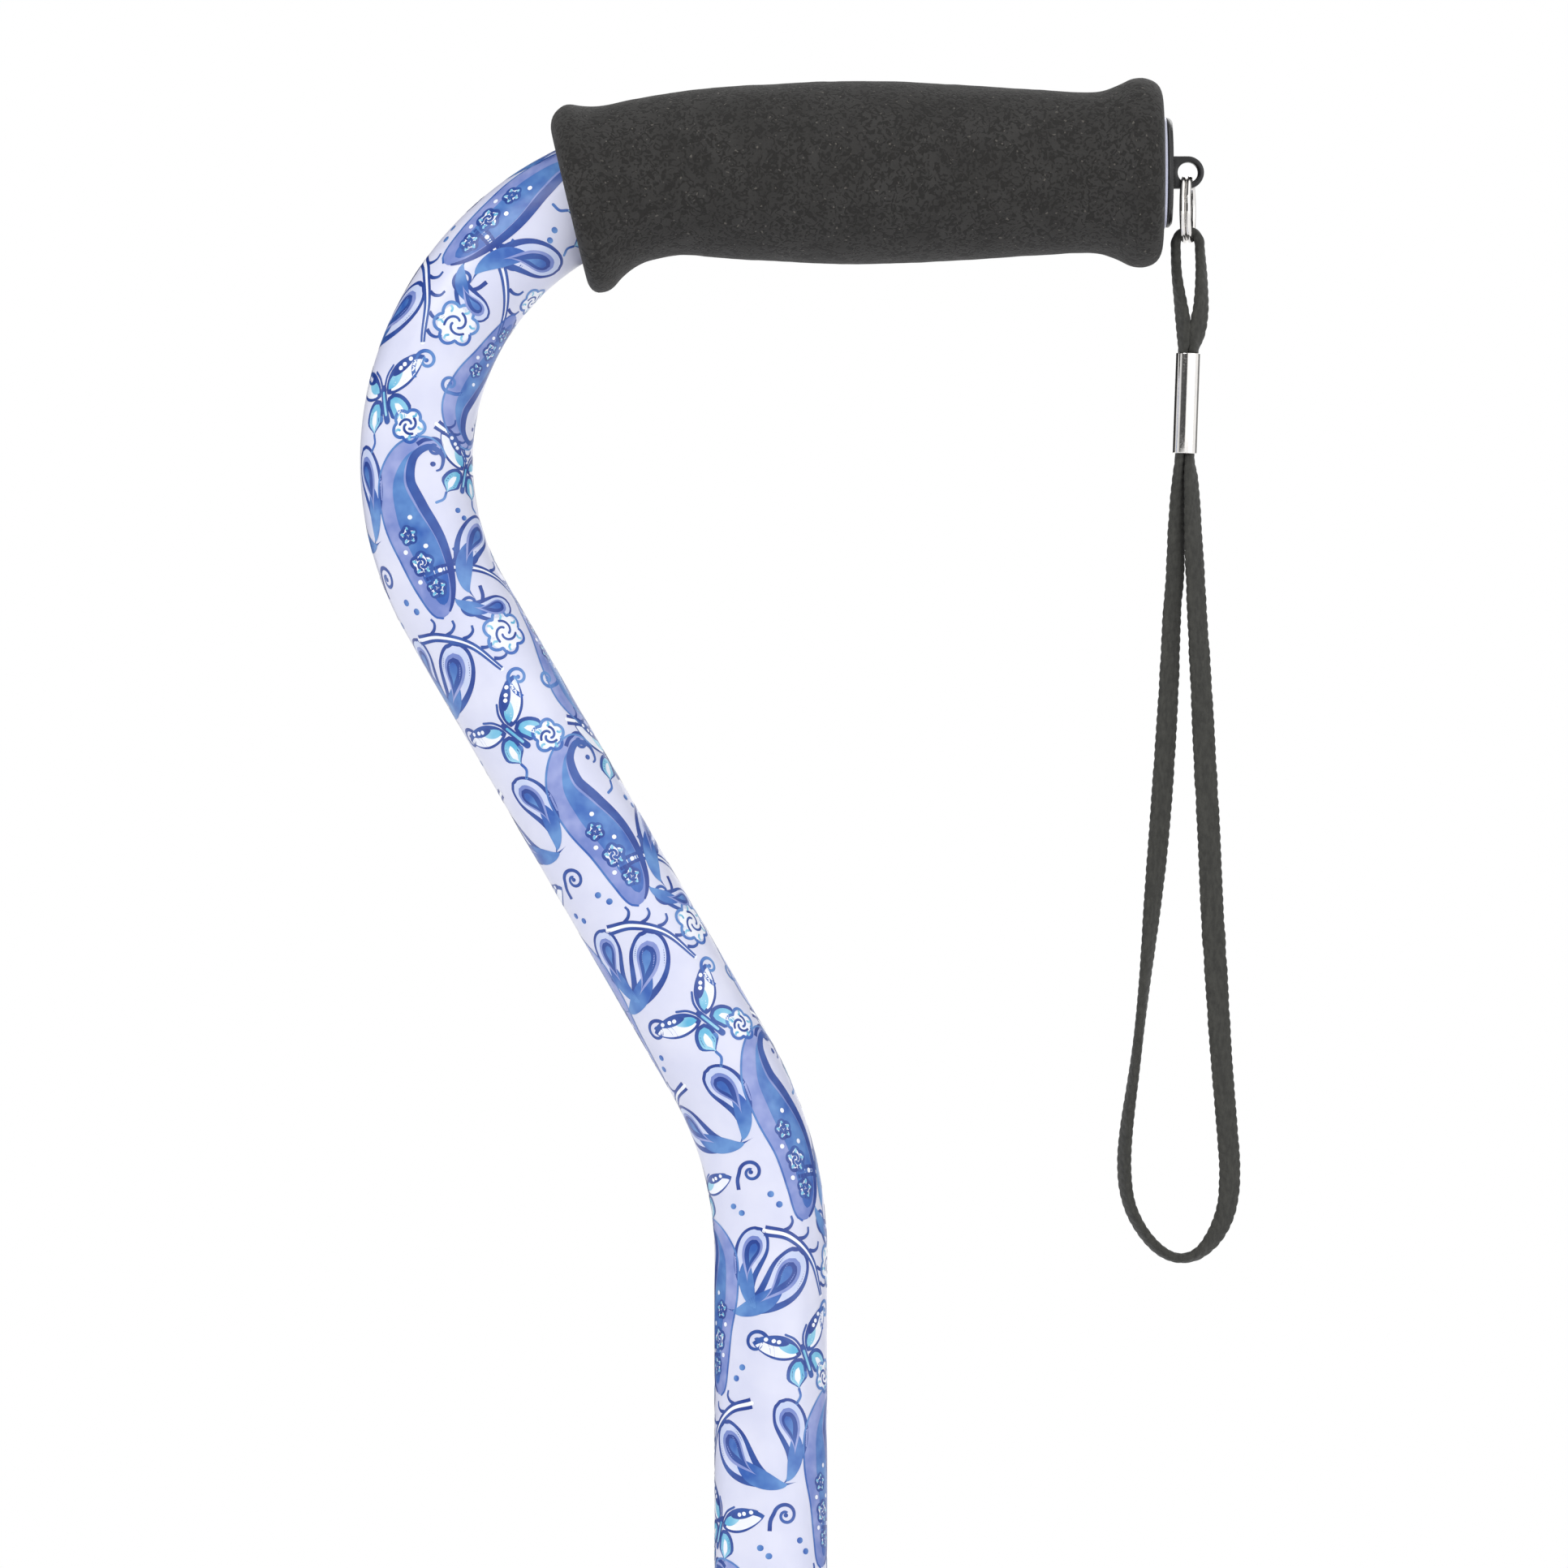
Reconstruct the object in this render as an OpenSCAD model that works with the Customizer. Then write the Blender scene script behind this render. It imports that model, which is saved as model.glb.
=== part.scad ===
// Quad walking cane: an offset handle tube that slides on a post, and a base with four legs.
// Millimetres, +Z up. The origin is on the floor, at the centre of the base's footprint.
// The grip points along +X. The shaft stands nearer the -Y side, where the user walks.

/* [Height] */
// Height of the grip's axis at the lowest setting
lowest_grip_z = 719; // [710:1:730]
// Distance from one height hole to the next
hole_pitch = 19.05; // [18:0.05:19.5]
// Number of height settings
settings = 13; // [11:1:13]
// Setting shown, counted up from the lowest
setting = 7; // [0:1:10]

/* [Handle tube] */
// Outer diameter of the handle tube
tube_d = 22.2; // [22:0.1:22.4]
// Wall of the handle tube
tube_wall = 1.45; // [1.4:0.01:1.48]
// Radius of the bend behind the grip
upper_bend_r = 57; // [52:1:60]
// Where the grip's straight run meets that bend
bend_x = -13; // [-16:1:-12]
// Lean of the slanted run, from the vertical
slant = 30; // [27:1:33]
// Radius of the bend at the top of the shaft
lower_bend_r = 75; // [60:1:85]
// Distance from the grip's axis down to the foot of the handle tube
tube_drop = 583; // [575:1:583]

/* [Grip] */
// End of the foam grip
grip_end_x = 77.4; // [76:0.1:77.4]
// End of the handle tube, which stands just proud of the foam
tube_end_x = 78; // [78:0.1:79]
// Largest radius of the foam in the palm
crown_r = 18; // [17:0.1:18.5]
// Radius of the foam at its necks
neck_r = 15.9; // [15:0.1:16.4]
// Radius of the foam's flared ends
flare_r = 18.7; // [18:0.1:19.5]

/* [Wrist strap] */
// Width of the flat braid
braid_w = 4.8; // [4.4:0.1:4.9]
// Thickness of the flat braid
braid_t = 2; // [1.6:0.1:2]

/* [Post] */
// Diameter of the post that slides in the handle tube
post_d = 19.1; // [18.95:0.05:19.1]
// Wall of the post
post_wall = 1.25; // [1:0.05:1.5]

/* [Base] */
// Distance between the tips, fore and aft
track_x = 174; // [165:1:180]
// Distance between the tips, side to side
track_y = 123; // [115:1:130]
// How far the shaft stands off the middle of the base
shaft_offset = 13.5; // [10:0.5:15]
// Diameter of the legs' steel tube
leg_d = 15.9; // [15:0.1:16]
// Slope of the legs' upper runs, from the horizontal
leg_slope = 12; // [8:1:14]
// Radius of the legs' bends
leg_bend_r = 36; // [32:1:38]
// Diameter of a rubber tip at the floor
tip_d = 29; // [27:0.5:31]

/* [Hidden] */
$fn = 48;

cut = 1; // how far a cutting shape runs past the face that it cuts
fit = 0.1; // radial clearance of the sliding and turning fits
swell = 0.04; // a bent pipe is this much thicker than a straight one, inside and outside
seat = 0.5; // how far a straight run reaches into a bend
shaft_y = -shaft_offset;
grip_z = lowest_grip_z + setting * hole_pitch;
foot_z = grip_z - tube_drop; // lower end of the handle tube

// Handle tube, in its own XZ plane with the grip's axis at z = 0
tube_r = tube_d / 2;
tube_bore_r = tube_r - tube_wall;
bend_turn = 90 + slant;
bend_end = [bend_x - upper_bend_r * cos(slant), -upper_bend_r * (1 + sin(slant))];
lower_tangent = lower_bend_r * tan(slant / 2);
slant_run = -bend_end[0] / sin(slant) - lower_tangent;
knee_z = bend_end[1] - (slant_run + lower_tangent) * cos(slant) - lower_tangent;

// Foam grip
rear_turn = 28; // part of the bend that the foam covers
rear_tilt = 13.5; // lean of the foam's rear face
flare_l = 9; // length of the rear flare
flare_round = 3.7; // rounding of the rear flare's corner

// End plug, split ring and strap, all in the plane of the handle tube
flange_r = 10.85;
flange_t = 1.2;
plug_stem_l = 17;
lug_x = 82.3; // axis of the eye
lug_r = 3.2;
lug_t = 3.2;
eye_r = 2.1;
wire_r = 0.55; // the split ring has two turns of this wire side by side
ring_r = 6.2;
ring_z = -1.05 - ring_r;
ferrule_top = [82.4, -35.7];
ferrule_foot = [81.7, -55.5];
ferrule_r = 2.4; // half of its width across the strands
ferrule_flat = 1.7; // length of its flat sides
ferrule_wall = 0.3;

// The strap's middle line as [x, z, twist]: up inside the ferrule, over the split ring, down through
// the ferrule, round the wrist loop and back into the ferrule. A twist of 0 sets the braid edge-on.
strap_route = [
    [81.0, -46, 0], [81.2, -41, 0], [81.4, -35.7, 0], [81.2, -31, 14], [80.5, -26, 8], [80.0, -20, 0],
    [79.95, -15, 0], [80.0, -13.6, 0], [80.6, -12.4, 0], [81.4, -11.8, 0], [82.3, -11.6, 0], [83.2, -11.8, 0],
    [84.0, -12.4, 0], [84.6, -13.6, 0], [84.7, -15, 4], [85.0, -20, 14], [84.8, -26, 26], [84.0, -31, 24],
    [83.4, -35.7, 0], [83.05, -46, 0], [82.7, -55.5, 0], [83.1, -65, 26], [83.7, -75, 38], [84.1, -86, 49],
    [84.95, -101, 60], [85.7, -116, 70], [86.5, -131, 72], [87.1, -145, 74], [87.9, -158, 72], [88.9, -174, 60],
    [90.1, -189, 57], [90.6, -197, 52], [89.9, -204, 40], [87.6, -209.5, 24], [84.2, -213.2, 10], [80.6, -214.3, 2],
    [76.8, -212.6, 4], [73.2, -208.6, 10], [70.7, -203.4, 16], [69.8, -197, 21], [70.2, -189, 18], [72.2, -174, 2],
    [74.0, -158, -18], [75.3, -145, -38], [76.6, -131, -53], [77.7, -116, -55], [78.6, -101, -48], [79.3, -86, -40],
    [79.6, -75, -34], [80.1, -65, -24], [80.7, -55.5, 0], [80.85, -51, 0], [81.0, -46.3, 0]
];
braid_sides = 8;

// Clamp at the foot of the handle tube, measured from that foot
thread_r = 13.05;
thread_up = 20;
shoulder_r = 14.2;
shoulder_up = 16;
bushing_down = 5; // the bushing's lip below the tube
wedge_l = 8;
wedge_r = [10.9, 12.2]; // outer radius of the wedge at its foot and at its top
wedge_gap = 0.2;
lock_r = 16.2;
lock_up = 13;
lock_floor = 2.6;
lock_ribs = 20;

// Post, button and spring
post_r = post_d / 2;
post_bore_r = post_r - post_wall;
post_foot_z = 70;
post_top_z = 440;
button_z = 392;
button_r = 3.9;
button_hole_r = 4.15;
button_reach = 13.6; // from the shaft's axis to the crown of the button
button_flange_y = 6.3; // outer face of the button's flange, from the shaft's axis
spring_w = 8;
spring_t = 0.5;
spring_l = 34;
spring_front_y = -5;
spring_back_y = 6.9;

// Base
socket_r = 14.3;
socket_z = [62, 114];
bolt_z = 104;
bolt_r = 3;
washer_t = 1.2;
leg_r = leg_d / 2;
leg_wall = 1.5;
leg_top_z = 88; // where the legs' axes meet the shaft's axis
leg_foot_z = 8.6;
tip_r = tip_d / 2;
tip_h = 31;
tip_floor = 7.2;
tip_washer_t = 1.2;

// ---- Handle ----

// Places children in the handle tube's own frame
module at_handle() translate([0, shaft_y, grip_z]) children();

// Bent pipe in the XZ plane, from one angle through another, counted from +X towards +Z.
// Its wall is thicker by the swell on both sides, and holds the ends of the straight runs.
module pipe_arc(centre, bend_r, from, turn, r, bore_r)
    translate([centre[0], 0, centre[1]])
        rotate([90, 0, 0])
            rotate([0, 0, from])
                rotate_extrude(angle = turn)
                    translate([bend_r, 0])
                        difference() {
                            circle(r + swell);
                            circle(bore_r - swell);
                        }

// Straight pipe along +Z, with ends that reach into the bends before and after it
module pipe(r, bore_r, length, before = 0, after = 0)
    translate([0, 0, -before])
        linear_extrude(length + before + after)
            difference() {
                circle(r);
                circle(bore_r);
            }

// The bends of the handle tube and the straight runs above its shaft
module handle_neck() {
    translate([bend_x, 0, 0])
        rotate([0, 90, 0])
            pipe(tube_r, tube_bore_r, tube_end_x - bend_x, before = seat);
    pipe_arc([bend_x, -upper_bend_r], upper_bend_r, 90, bend_turn, tube_r, tube_bore_r);
    translate([bend_end[0], 0, bend_end[1]])
        rotate([0, 180 - slant, 0])
            pipe(tube_r, tube_bore_r, slant_run, before = seat, after = seat);
    pipe_arc([-lower_bend_r, knee_z], lower_bend_r, 0, slant, tube_r, tube_bore_r);
}

// Straight shaft at the foot of the handle tube, with a height hole through both walls at each setting
module handle_shaft()
    difference() {
        translate([0, 0, -tube_drop])
            pipe(tube_r, tube_bore_r, tube_drop + knee_z, after = seat);
        for (i = [0 : settings - 1])
            translate([0, 0, button_z - grip_z + (setting - i) * hole_pitch])
                rotate([90, 0, 0])
                    cylinder(r = button_hole_r, h = 2 * tube_r + 2 * cut, center = true);
    }

module handle_tube()
    color("lavender")
        at_handle() {
            handle_neck();
            handle_shaft();
        }

// Outline of the foam's straight run, as [distance along the axis, radius]
grip_outline = [
    [bend_x, neck_r + 0.4], [0, crown_r - 0.6], [16, crown_r], [34, crown_r - 0.5],
    [50, neck_r + 0.6], [62.5, neck_r], [67.5, neck_r + 1], [grip_end_x - 6.5, flare_r - 0.4],
    [grip_end_x - 4.8, flare_r], [grip_end_x - 1.8, flare_r - 1.2], [grip_end_x, flare_r - 4]
];

module foam_grip()
    color("darkslategray")
        at_handle() {
            rotate([0, 90, 0])
                rotate_extrude()
                    polygon([
                        for (p = grip_outline) [p[1], p[0]],
                        [tube_r, grip_end_x],
                        [tube_r, bend_x]
                    ]);
            pipe_arc([bend_x, -upper_bend_r], upper_bend_r, 90, rear_turn - 3, neck_r + 0.4, tube_r + 2 * swell);
            rear_flare();
        }

module rear_flare()
    difference() {
        translate([bend_x - upper_bend_r * sin(rear_turn), 0, -upper_bend_r * (1 - cos(rear_turn))])
            rotate([0, 90 - rear_tilt, 0])
                rotate_extrude()
                    polygon([
                        [0, 0],
                        for (a = [0 : 22.5 : 90]) [
                            flare_r - flare_round * (1 - sin(a)),
                            flare_round * (1 - cos(a))
                        ],
                        [neck_r + 1.2, flare_l - 1], [neck_r + 0.4, flare_l + 2], [0, flare_l + 2]
                    ]);
        rear_bore();
    }

// Room for the bent tube inside the rear flare
module rear_bore()
    translate([bend_x, 0, -upper_bend_r])
        rotate([90, 0, 0])
            rotate([0, 0, 90])
                rotate_extrude(angle = 2 * rear_turn)
                    translate([upper_bend_r, 0])
                        circle(tube_r + swell);

module end_plug()
    color("black")
        at_handle()
            difference() {
                union() {
                    translate([tube_end_x - plug_stem_l, 0, 0])
                        rotate([0, 90, 0])
                            cylinder(r = tube_bore_r - 0.05, h = plug_stem_l);
                    translate([tube_end_x, 0, 0])
                        rotate([0, 90, 0])
                            cylinder(r1 = flange_r, r2 = flange_r - 0.3, h = flange_t);
                    translate([lug_x, 0, 0])
                        rotate([90, 0, 0])
                            cylinder(r = lug_r, h = lug_t, center = true);
                    translate([tube_end_x, -lug_t / 2, -lug_r])
                        cube([lug_x - tube_end_x, lug_t, 2 * lug_r]);
                }
                translate([lug_x, 0, 0])
                    rotate([90, 0, 0])
                        cylinder(r = eye_r, h = lug_t + 2 * cut, center = true);
                translate([tube_end_x - plug_stem_l - cut, 0, 0])
                    rotate([0, 90, 0])
                        cylinder(r = tube_bore_r - 2, h = plug_stem_l - 1);
            }

module split_ring()
    color("silver")
        at_handle()
            translate([lug_x, 0, ring_z])
                rotate([0, 90, 0])
                    rotate_extrude($fn = 64)
                        for (side = [-1, 1])
                            translate([ring_r, side * (wire_r + 0.03)])
                                circle(wire_r, $fn = 24);

// ---- Wrist strap ----

function unit(v) = v / norm(v);

// Direction of the route at point i, from the points on both sides of it
function heading(i) =
    let (
        before = strap_route[max(i - 1, 0)],
        after = strap_route[min(i + 1, len(strap_route) - 1)]
    )
    unit([after[0] - before[0], 0, after[1] - before[1]]);

// Corners of the braid's section at point i
function braid_ring(i) =
    let (
        p = strap_route[i],
        ahead = heading(i),
        side = cross(ahead, [0, 1, 0]),
        wide = cos(p[2]) * [0, 1, 0] + sin(p[2]) * side,
        thin = cross(wide, ahead)
    )
    [for (k = [0 : braid_sides - 1])
        let (a = 360 * k / braid_sides)
        [p[0], 0, p[1]] + braid_w / 2 * cos(a) * wide + braid_t / 2 * sin(a) * thin];

module wrist_strap() {
    last = len(strap_route) - 1;
    n = braid_sides;
    points = [for (i = [0 : last]) each braid_ring(i)];
    walls = [
        for (i = [0 : last - 1], k = [0 : n - 1])
            [i * n + k, i * n + (k + 1) % n, (i + 1) * n + (k + 1) % n, (i + 1) * n + k]
    ];
    start = [for (k = [n - 1 : -1 : 0]) k];
    end = [for (k = [0 : n - 1]) last * n + k];
    color("dimgray")
        at_handle()
            polyhedron(points = points, faces = concat(walls, [start, end]));
}

// Outline of the crimped tube, grown by g
module ferrule_outline(g) {
    square([2 * (ferrule_r + g), ferrule_flat], center = true);
    for (side = [-1, 1])
        translate([0, side * ferrule_flat / 2])
            circle(ferrule_r + g);
}

module crimp_ferrule() {
    lean = ferrule_top - ferrule_foot;
    color("silver")
        at_handle()
            translate([ferrule_foot[0], 0, ferrule_foot[1]])
                rotate([0, atan2(lean[0], lean[1]), 0])
                    linear_extrude(norm(lean))
                        difference() {
                            ferrule_outline(0);
                            ferrule_outline(-ferrule_wall);
                        }
}

// ---- Clamp ----

module at_foot() translate([0, shaft_y, foot_z]) children();

module collar_bushing()
    color("black")
        at_foot()
            difference() {
                union() {
                    translate([0, 0, -bushing_down])
                        cylinder(r = thread_r, h = thread_up + bushing_down);
                    translate([0, 0, shoulder_up])
                        cylinder(r = shoulder_r, h = thread_up - shoulder_up);
                    translate([0, 0, thread_up])
                        cylinder(r1 = shoulder_r, r2 = tube_r + 0.6, h = 2.5);
                }
                cylinder(r = tube_r, h = thread_up + 2.5 + cut);
                translate([0, 0, -bushing_down - cut])
                    cylinder(r = post_r + fit, h = bushing_down + 2 * cut);
            }

module wedge_sleeve()
    color("whitesmoke")
        at_foot()
            translate([0, 0, -bushing_down - wedge_gap - wedge_l])
                difference() {
                    cylinder(r1 = wedge_r[0], r2 = wedge_r[1], h = wedge_l);
                    translate([0, 0, -cut])
                        cylinder(r = post_r + fit, h = wedge_l + 2 * cut);
                    translate([0, -1, -cut])
                        cube([2 * post_r, 2, wedge_l + 2 * cut]);
                }

module lock_ring() {
    seat_z = -bushing_down - wedge_gap - wedge_l - wedge_gap;
    low_z = seat_z - lock_floor;
    color("black")
        at_foot()
            difference() {
                union() {
                    translate([0, 0, low_z])
                        cylinder(r1 = lock_r - 1.5, r2 = lock_r, h = 2);
                    translate([0, 0, low_z + 2])
                        cylinder(r = lock_r, h = lock_up - low_z - 4);
                    translate([0, 0, lock_up - 2])
                        cylinder(r1 = lock_r, r2 = lock_r - 1, h = 2);
                }
                translate([0, 0, low_z - cut])
                    cylinder(r = post_r + 3 * fit, h = lock_floor + 2 * cut);
                translate([0, 0, seat_z])
                    cylinder(
                        r1 = wedge_r[0] + wedge_gap,
                        r2 = wedge_r[1] + wedge_gap,
                        h = -bushing_down - seat_z
                    );
                translate([0, 0, -bushing_down - wedge_gap])
                    cylinder(r = thread_r + fit, h = lock_up + bushing_down + wedge_gap + cut);
                for (i = [0 : lock_ribs - 1])
                    rotate([0, 0, 360 * i / lock_ribs])
                        translate([lock_r + 0.9, 0, low_z - cut])
                            cylinder(r = 1.7, h = lock_up - low_z + 2 * cut, $fn = 24);
            }
}

// ---- Post ----

module post_tube()
    color("dimgray")
        translate([0, shaft_y, 0])
            difference() {
                translate([0, 0, post_foot_z])
                    cylinder(r = post_r, h = post_top_z - post_foot_z);
                translate([0, 0, post_foot_z - cut])
                    cylinder(r = post_bore_r, h = post_top_z - post_foot_z + 2 * cut);
                translate([0, 0, button_z])
                    rotate([90, 0, 0])
                        cylinder(r = button_hole_r, h = post_r + cut);
                translate([0, 0, bolt_z])
                    rotate([90, 0, 0])
                        cylinder(r = bolt_r + fit, h = 2 * post_r + 2 * cut, center = true);
            }

module post_guide()
    color("whitesmoke")
        translate([0, shaft_y, post_top_z])
            difference() {
                union() {
                    cylinder(r = post_r, h = 3);
                    translate([0, 0, -10])
                        cylinder(r = post_bore_r - 0.05, h = 10);
                }
                translate([0, 0, -10 - cut])
                    cylinder(r = post_bore_r - 1.6, h = 13 + 2 * cut);
            }

module snap_button()
    color("silver")
        translate([0, shaft_y, button_z])
            rotate([90, 0, 0])
                rotate_extrude()
                    polygon([
                        [0, button_flange_y - 1], [5, button_flange_y - 1], [5, button_flange_y],
                        [button_r, button_flange_y], [button_r, button_reach - 1.6],
                        for (a = [0 : 15 : 75]) [
                            button_r - 1.6 * (1 - cos(a)),
                            button_reach - 1.6 * (1 - sin(a))
                        ],
                        [button_r - 1.9, button_reach], [0, button_reach]
                    ]);

// A steel strip bent into a U: the front leg carries the button, the back leg bears on the post
module button_spring() {
    bend_r = (spring_back_y - spring_front_y) / 2;
    mid_y = (spring_back_y + spring_front_y) / 2;
    color("gainsboro")
        translate([0, shaft_y, button_z]) {
            for (leg = [[spring_front_y, 9], [spring_back_y, 4]])
                translate([-spring_w / 2, leg[0] - spring_t / 2, -spring_l])
                    cube([spring_w, spring_t, spring_l + leg[1]]);
            translate([0, mid_y, -spring_l])
                rotate([0, 90, 0])
                    rotate([0, 0, -90])
                        rotate_extrude(angle = 180)
                            translate([bend_r, 0])
                                square([spring_t, spring_w], center = true);
        }
}

// ---- Base ----

module base_socket()
    color("#2b2b2b")
        translate([0, shaft_y, 0])
            difference() {
                translate([0, 0, socket_z[0]])
                    cylinder(r = socket_r, h = socket_z[1] - socket_z[0]);
                translate([0, 0, socket_z[0] - cut])
                    cylinder(r = post_r + fit, h = socket_z[1] - socket_z[0] + 2 * cut);
                translate([0, 0, bolt_z])
                    rotate([90, 0, 0])
                        cylinder(r = bolt_r + fit, h = 2 * socket_r + 2 * cut, center = true);
            }

module socket_plug()
    color("black")
        translate([0, shaft_y, 0]) {
            translate([0, 0, socket_z[0] - 3])
                cylinder(r1 = socket_r - 1.5, r2 = socket_r, h = 3);
            translate([0, 0, socket_z[0]])
                cylinder(r = post_r, h = post_foot_z - socket_z[0]);
        }

// Places children on the cross bolt's axis, with +Z along it from the head to the nut
module at_bolt() translate([0, shaft_y, bolt_z]) rotate([-90, 0, 0]) children();

module cross_bolt() {
    seat = socket_r + washer_t;
    color("silver")
        at_bolt() {
            translate([0, 0, -seat])
                cylinder(r = bolt_r, h = 2 * seat + 7);
            translate([0, 0, -seat - 3.6])
                cylinder(d = 11.5, h = 3.6, $fn = 6);
        }
}

module lock_nut()
    color("silver")
        at_bolt()
            translate([0, 0, socket_r + washer_t])
                difference() {
                    union() {
                        cylinder(d = 11.5, h = 4.5, $fn = 6);
                        translate([0, 0, 4.5])
                            cylinder(r1 = 4.7, r2 = 4.1, h = 1.5);
                    }
                    translate([0, 0, -cut])
                        cylinder(r = bolt_r, h = 6 + 2 * cut);
                }

module bolt_washers()
    color("silver")
        at_bolt()
            for (z = [-socket_r - washer_t, socket_r])
                translate([0, 0, z])
                    difference() {
                        cylinder(r = 6.2, h = washer_t);
                        translate([0, 0, -cut])
                            cylinder(r = bolt_r + fit, h = washer_t + 2 * cut);
                    }

// side_x and side_y say which quarter of the base the leg is in
module leg(side_x, side_y) {
    aim = [side_x * track_x / 2, side_y * track_y / 2 - shaft_y];
    reach = norm(aim);
    bore_r = leg_r - leg_wall;
    run = (reach - leg_bend_r * (1 - sin(leg_slope))) / cos(leg_slope);
    bend_z = leg_top_z - run * sin(leg_slope) - leg_bend_r * cos(leg_slope);
    color("#2b2b2b")
        translate([0, shaft_y, 0])
            rotate([0, 0, atan2(aim[1], aim[0])]) {
                difference() {
                    translate([0, 0, leg_top_z])
                        rotate([0, 90 + leg_slope, 0])
                            pipe(leg_r, bore_r, run, after = seat);
                    translate([0, 0, socket_z[0]])
                        cylinder(r = socket_r, h = socket_z[1] - socket_z[0]);
                }
                pipe_arc([reach - leg_bend_r, bend_z], leg_bend_r, 0, 90 - leg_slope, leg_r, bore_r);
                translate([reach, 0, leg_foot_z])
                    pipe(leg_r, bore_r, bend_z - leg_foot_z, after = seat);
            }
}

module tip(side_x, side_y)
    color("dimgray")
        translate([side_x * track_x / 2, side_y * track_y / 2, 0])
            rotate_extrude()
                polygon([
                    [0, 0], [3, 0], [3, 1], [4.5, 1], [4.5, 0], [8, 0], [8, 1], [9.5, 1], [9.5, 0],
                    [tip_r - 0.8, 0], [tip_r, 0.8], [tip_r, 3.2], [tip_r - 1.6, 7], [tip_r - 2, 13],
                    [leg_r + 3.6, 13.6], [leg_r + 3.6, 17.4], [leg_r + 4.3, 18], [leg_r + 4.3, 19.6],
                    [leg_r + 3.4, 20.2], [leg_r + 3.2, 24], [leg_r + 3.8, 24.6],
                    [leg_r + 3.8, tip_h - 1], [leg_r + 2.8, tip_h], [leg_r + 0.05, tip_h],
                    [leg_r + 0.05, tip_floor], [0, tip_floor]
                ]);

module tip_washers()
    color("silver")
        for (x = [-1, 1], y = [-1, 1])
            translate([x * track_x / 2, y * track_y / 2, tip_floor])
                cylinder(r = leg_r - 0.1, h = tip_washer_t);

handle_tube();
foam_grip();
end_plug();
split_ring();
wrist_strap();
crimp_ferrule();
collar_bushing();
wedge_sleeve();
lock_ring();
post_tube();
post_guide();
snap_button();
button_spring();
base_socket();
socket_plug();
cross_bolt();
lock_nut();
bolt_washers();
leg(-1, -1);  // leg_inner_front
leg(1, -1);  // leg_inner_rear
leg(-1, 1);  // leg_outer_front
leg(1, 1);  // leg_outer_rear
tip(-1, -1);  // tip_inner_front
tip(1, -1);  // tip_inner_rear
tip(-1, 1);  // tip_outer_front
tip(1, 1);  // tip_outer_rear
tip_washers();
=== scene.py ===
"""Looks of the quad walking cane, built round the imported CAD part. Metres, in the part's own frame."""
import itertools
import math

import bmesh
import bpy
import numpy as np
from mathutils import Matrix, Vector, noise


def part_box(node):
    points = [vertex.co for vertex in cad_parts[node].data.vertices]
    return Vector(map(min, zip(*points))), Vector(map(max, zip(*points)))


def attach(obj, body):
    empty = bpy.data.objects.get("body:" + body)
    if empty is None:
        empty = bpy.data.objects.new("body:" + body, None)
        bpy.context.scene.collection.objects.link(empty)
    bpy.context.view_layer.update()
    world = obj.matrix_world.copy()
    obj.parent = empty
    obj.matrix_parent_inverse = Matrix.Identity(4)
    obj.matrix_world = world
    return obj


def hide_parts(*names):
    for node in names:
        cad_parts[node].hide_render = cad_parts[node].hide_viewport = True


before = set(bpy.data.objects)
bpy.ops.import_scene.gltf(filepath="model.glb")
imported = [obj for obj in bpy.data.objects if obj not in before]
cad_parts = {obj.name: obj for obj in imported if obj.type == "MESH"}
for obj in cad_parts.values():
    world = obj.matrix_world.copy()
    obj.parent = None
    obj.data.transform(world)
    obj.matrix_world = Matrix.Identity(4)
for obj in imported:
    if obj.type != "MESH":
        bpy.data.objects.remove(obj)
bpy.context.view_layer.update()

MM = 0.001
TURN = 2 * math.pi
CREASE = 38  # edges sharper than this many degrees stay sharp
X, Y, Z = np.eye(3)


def corners(node):
    lo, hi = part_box(node)
    return np.array(lo), np.array(hi)


def middle(node):
    return sum(corners(node)) / 2


def added(name, data):
    """A new object in the scene."""
    obj = bpy.data.objects.new(name, data)
    bpy.context.scene.collection.objects.link(obj)
    return obj


# Places that everything else is measured from
SHAFT = middle("post_tube")
GRIP = np.array([0, SHAFT[1], middle("end_plug")[2]])
FOOT_Z = corners("handle_tube")[0][2]
TUBE_END_X = corners("handle_tube")[1][0]
TUBE_R = 11.1 * MM
TUBE_BORE_R = 9.65 * MM
CUT_EDGE = 0.3 * MM  # how far the cut ends of tubes are rounded
POST_R = 9.55 * MM


# ---- Camera ----

VIEW_WIDTH = 309.6 * MM
VIEW_DISTANCE = 2.0
VIEW_CENTRE = GRIP + (2.6 * MM, 0, -120.7 * MM)
camera = added("camera", bpy.data.cameras.new("camera"))
camera.data.sensor_width = 36
camera.data.lens = 36 * VIEW_DISTANCE / VIEW_WIDTH
camera.data.clip_start = 0.05
camera.data.clip_end = 100
camera.location = VIEW_CENTRE - VIEW_DISTANCE * Y
camera.rotation_euler = (math.radians(90), 0, 0)
bpy.context.scene.camera = camera


# ---- Materials ----

def rgb(red, green, blue):
    """Linear colour from 8-bit display values."""
    values = [v / 255 for v in (red, green, blue)]
    return tuple(v / 12.92 if v <= 0.04045 else ((v + 0.055) / 1.055) ** 2.4 for v in values) + (1.0,)


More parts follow.
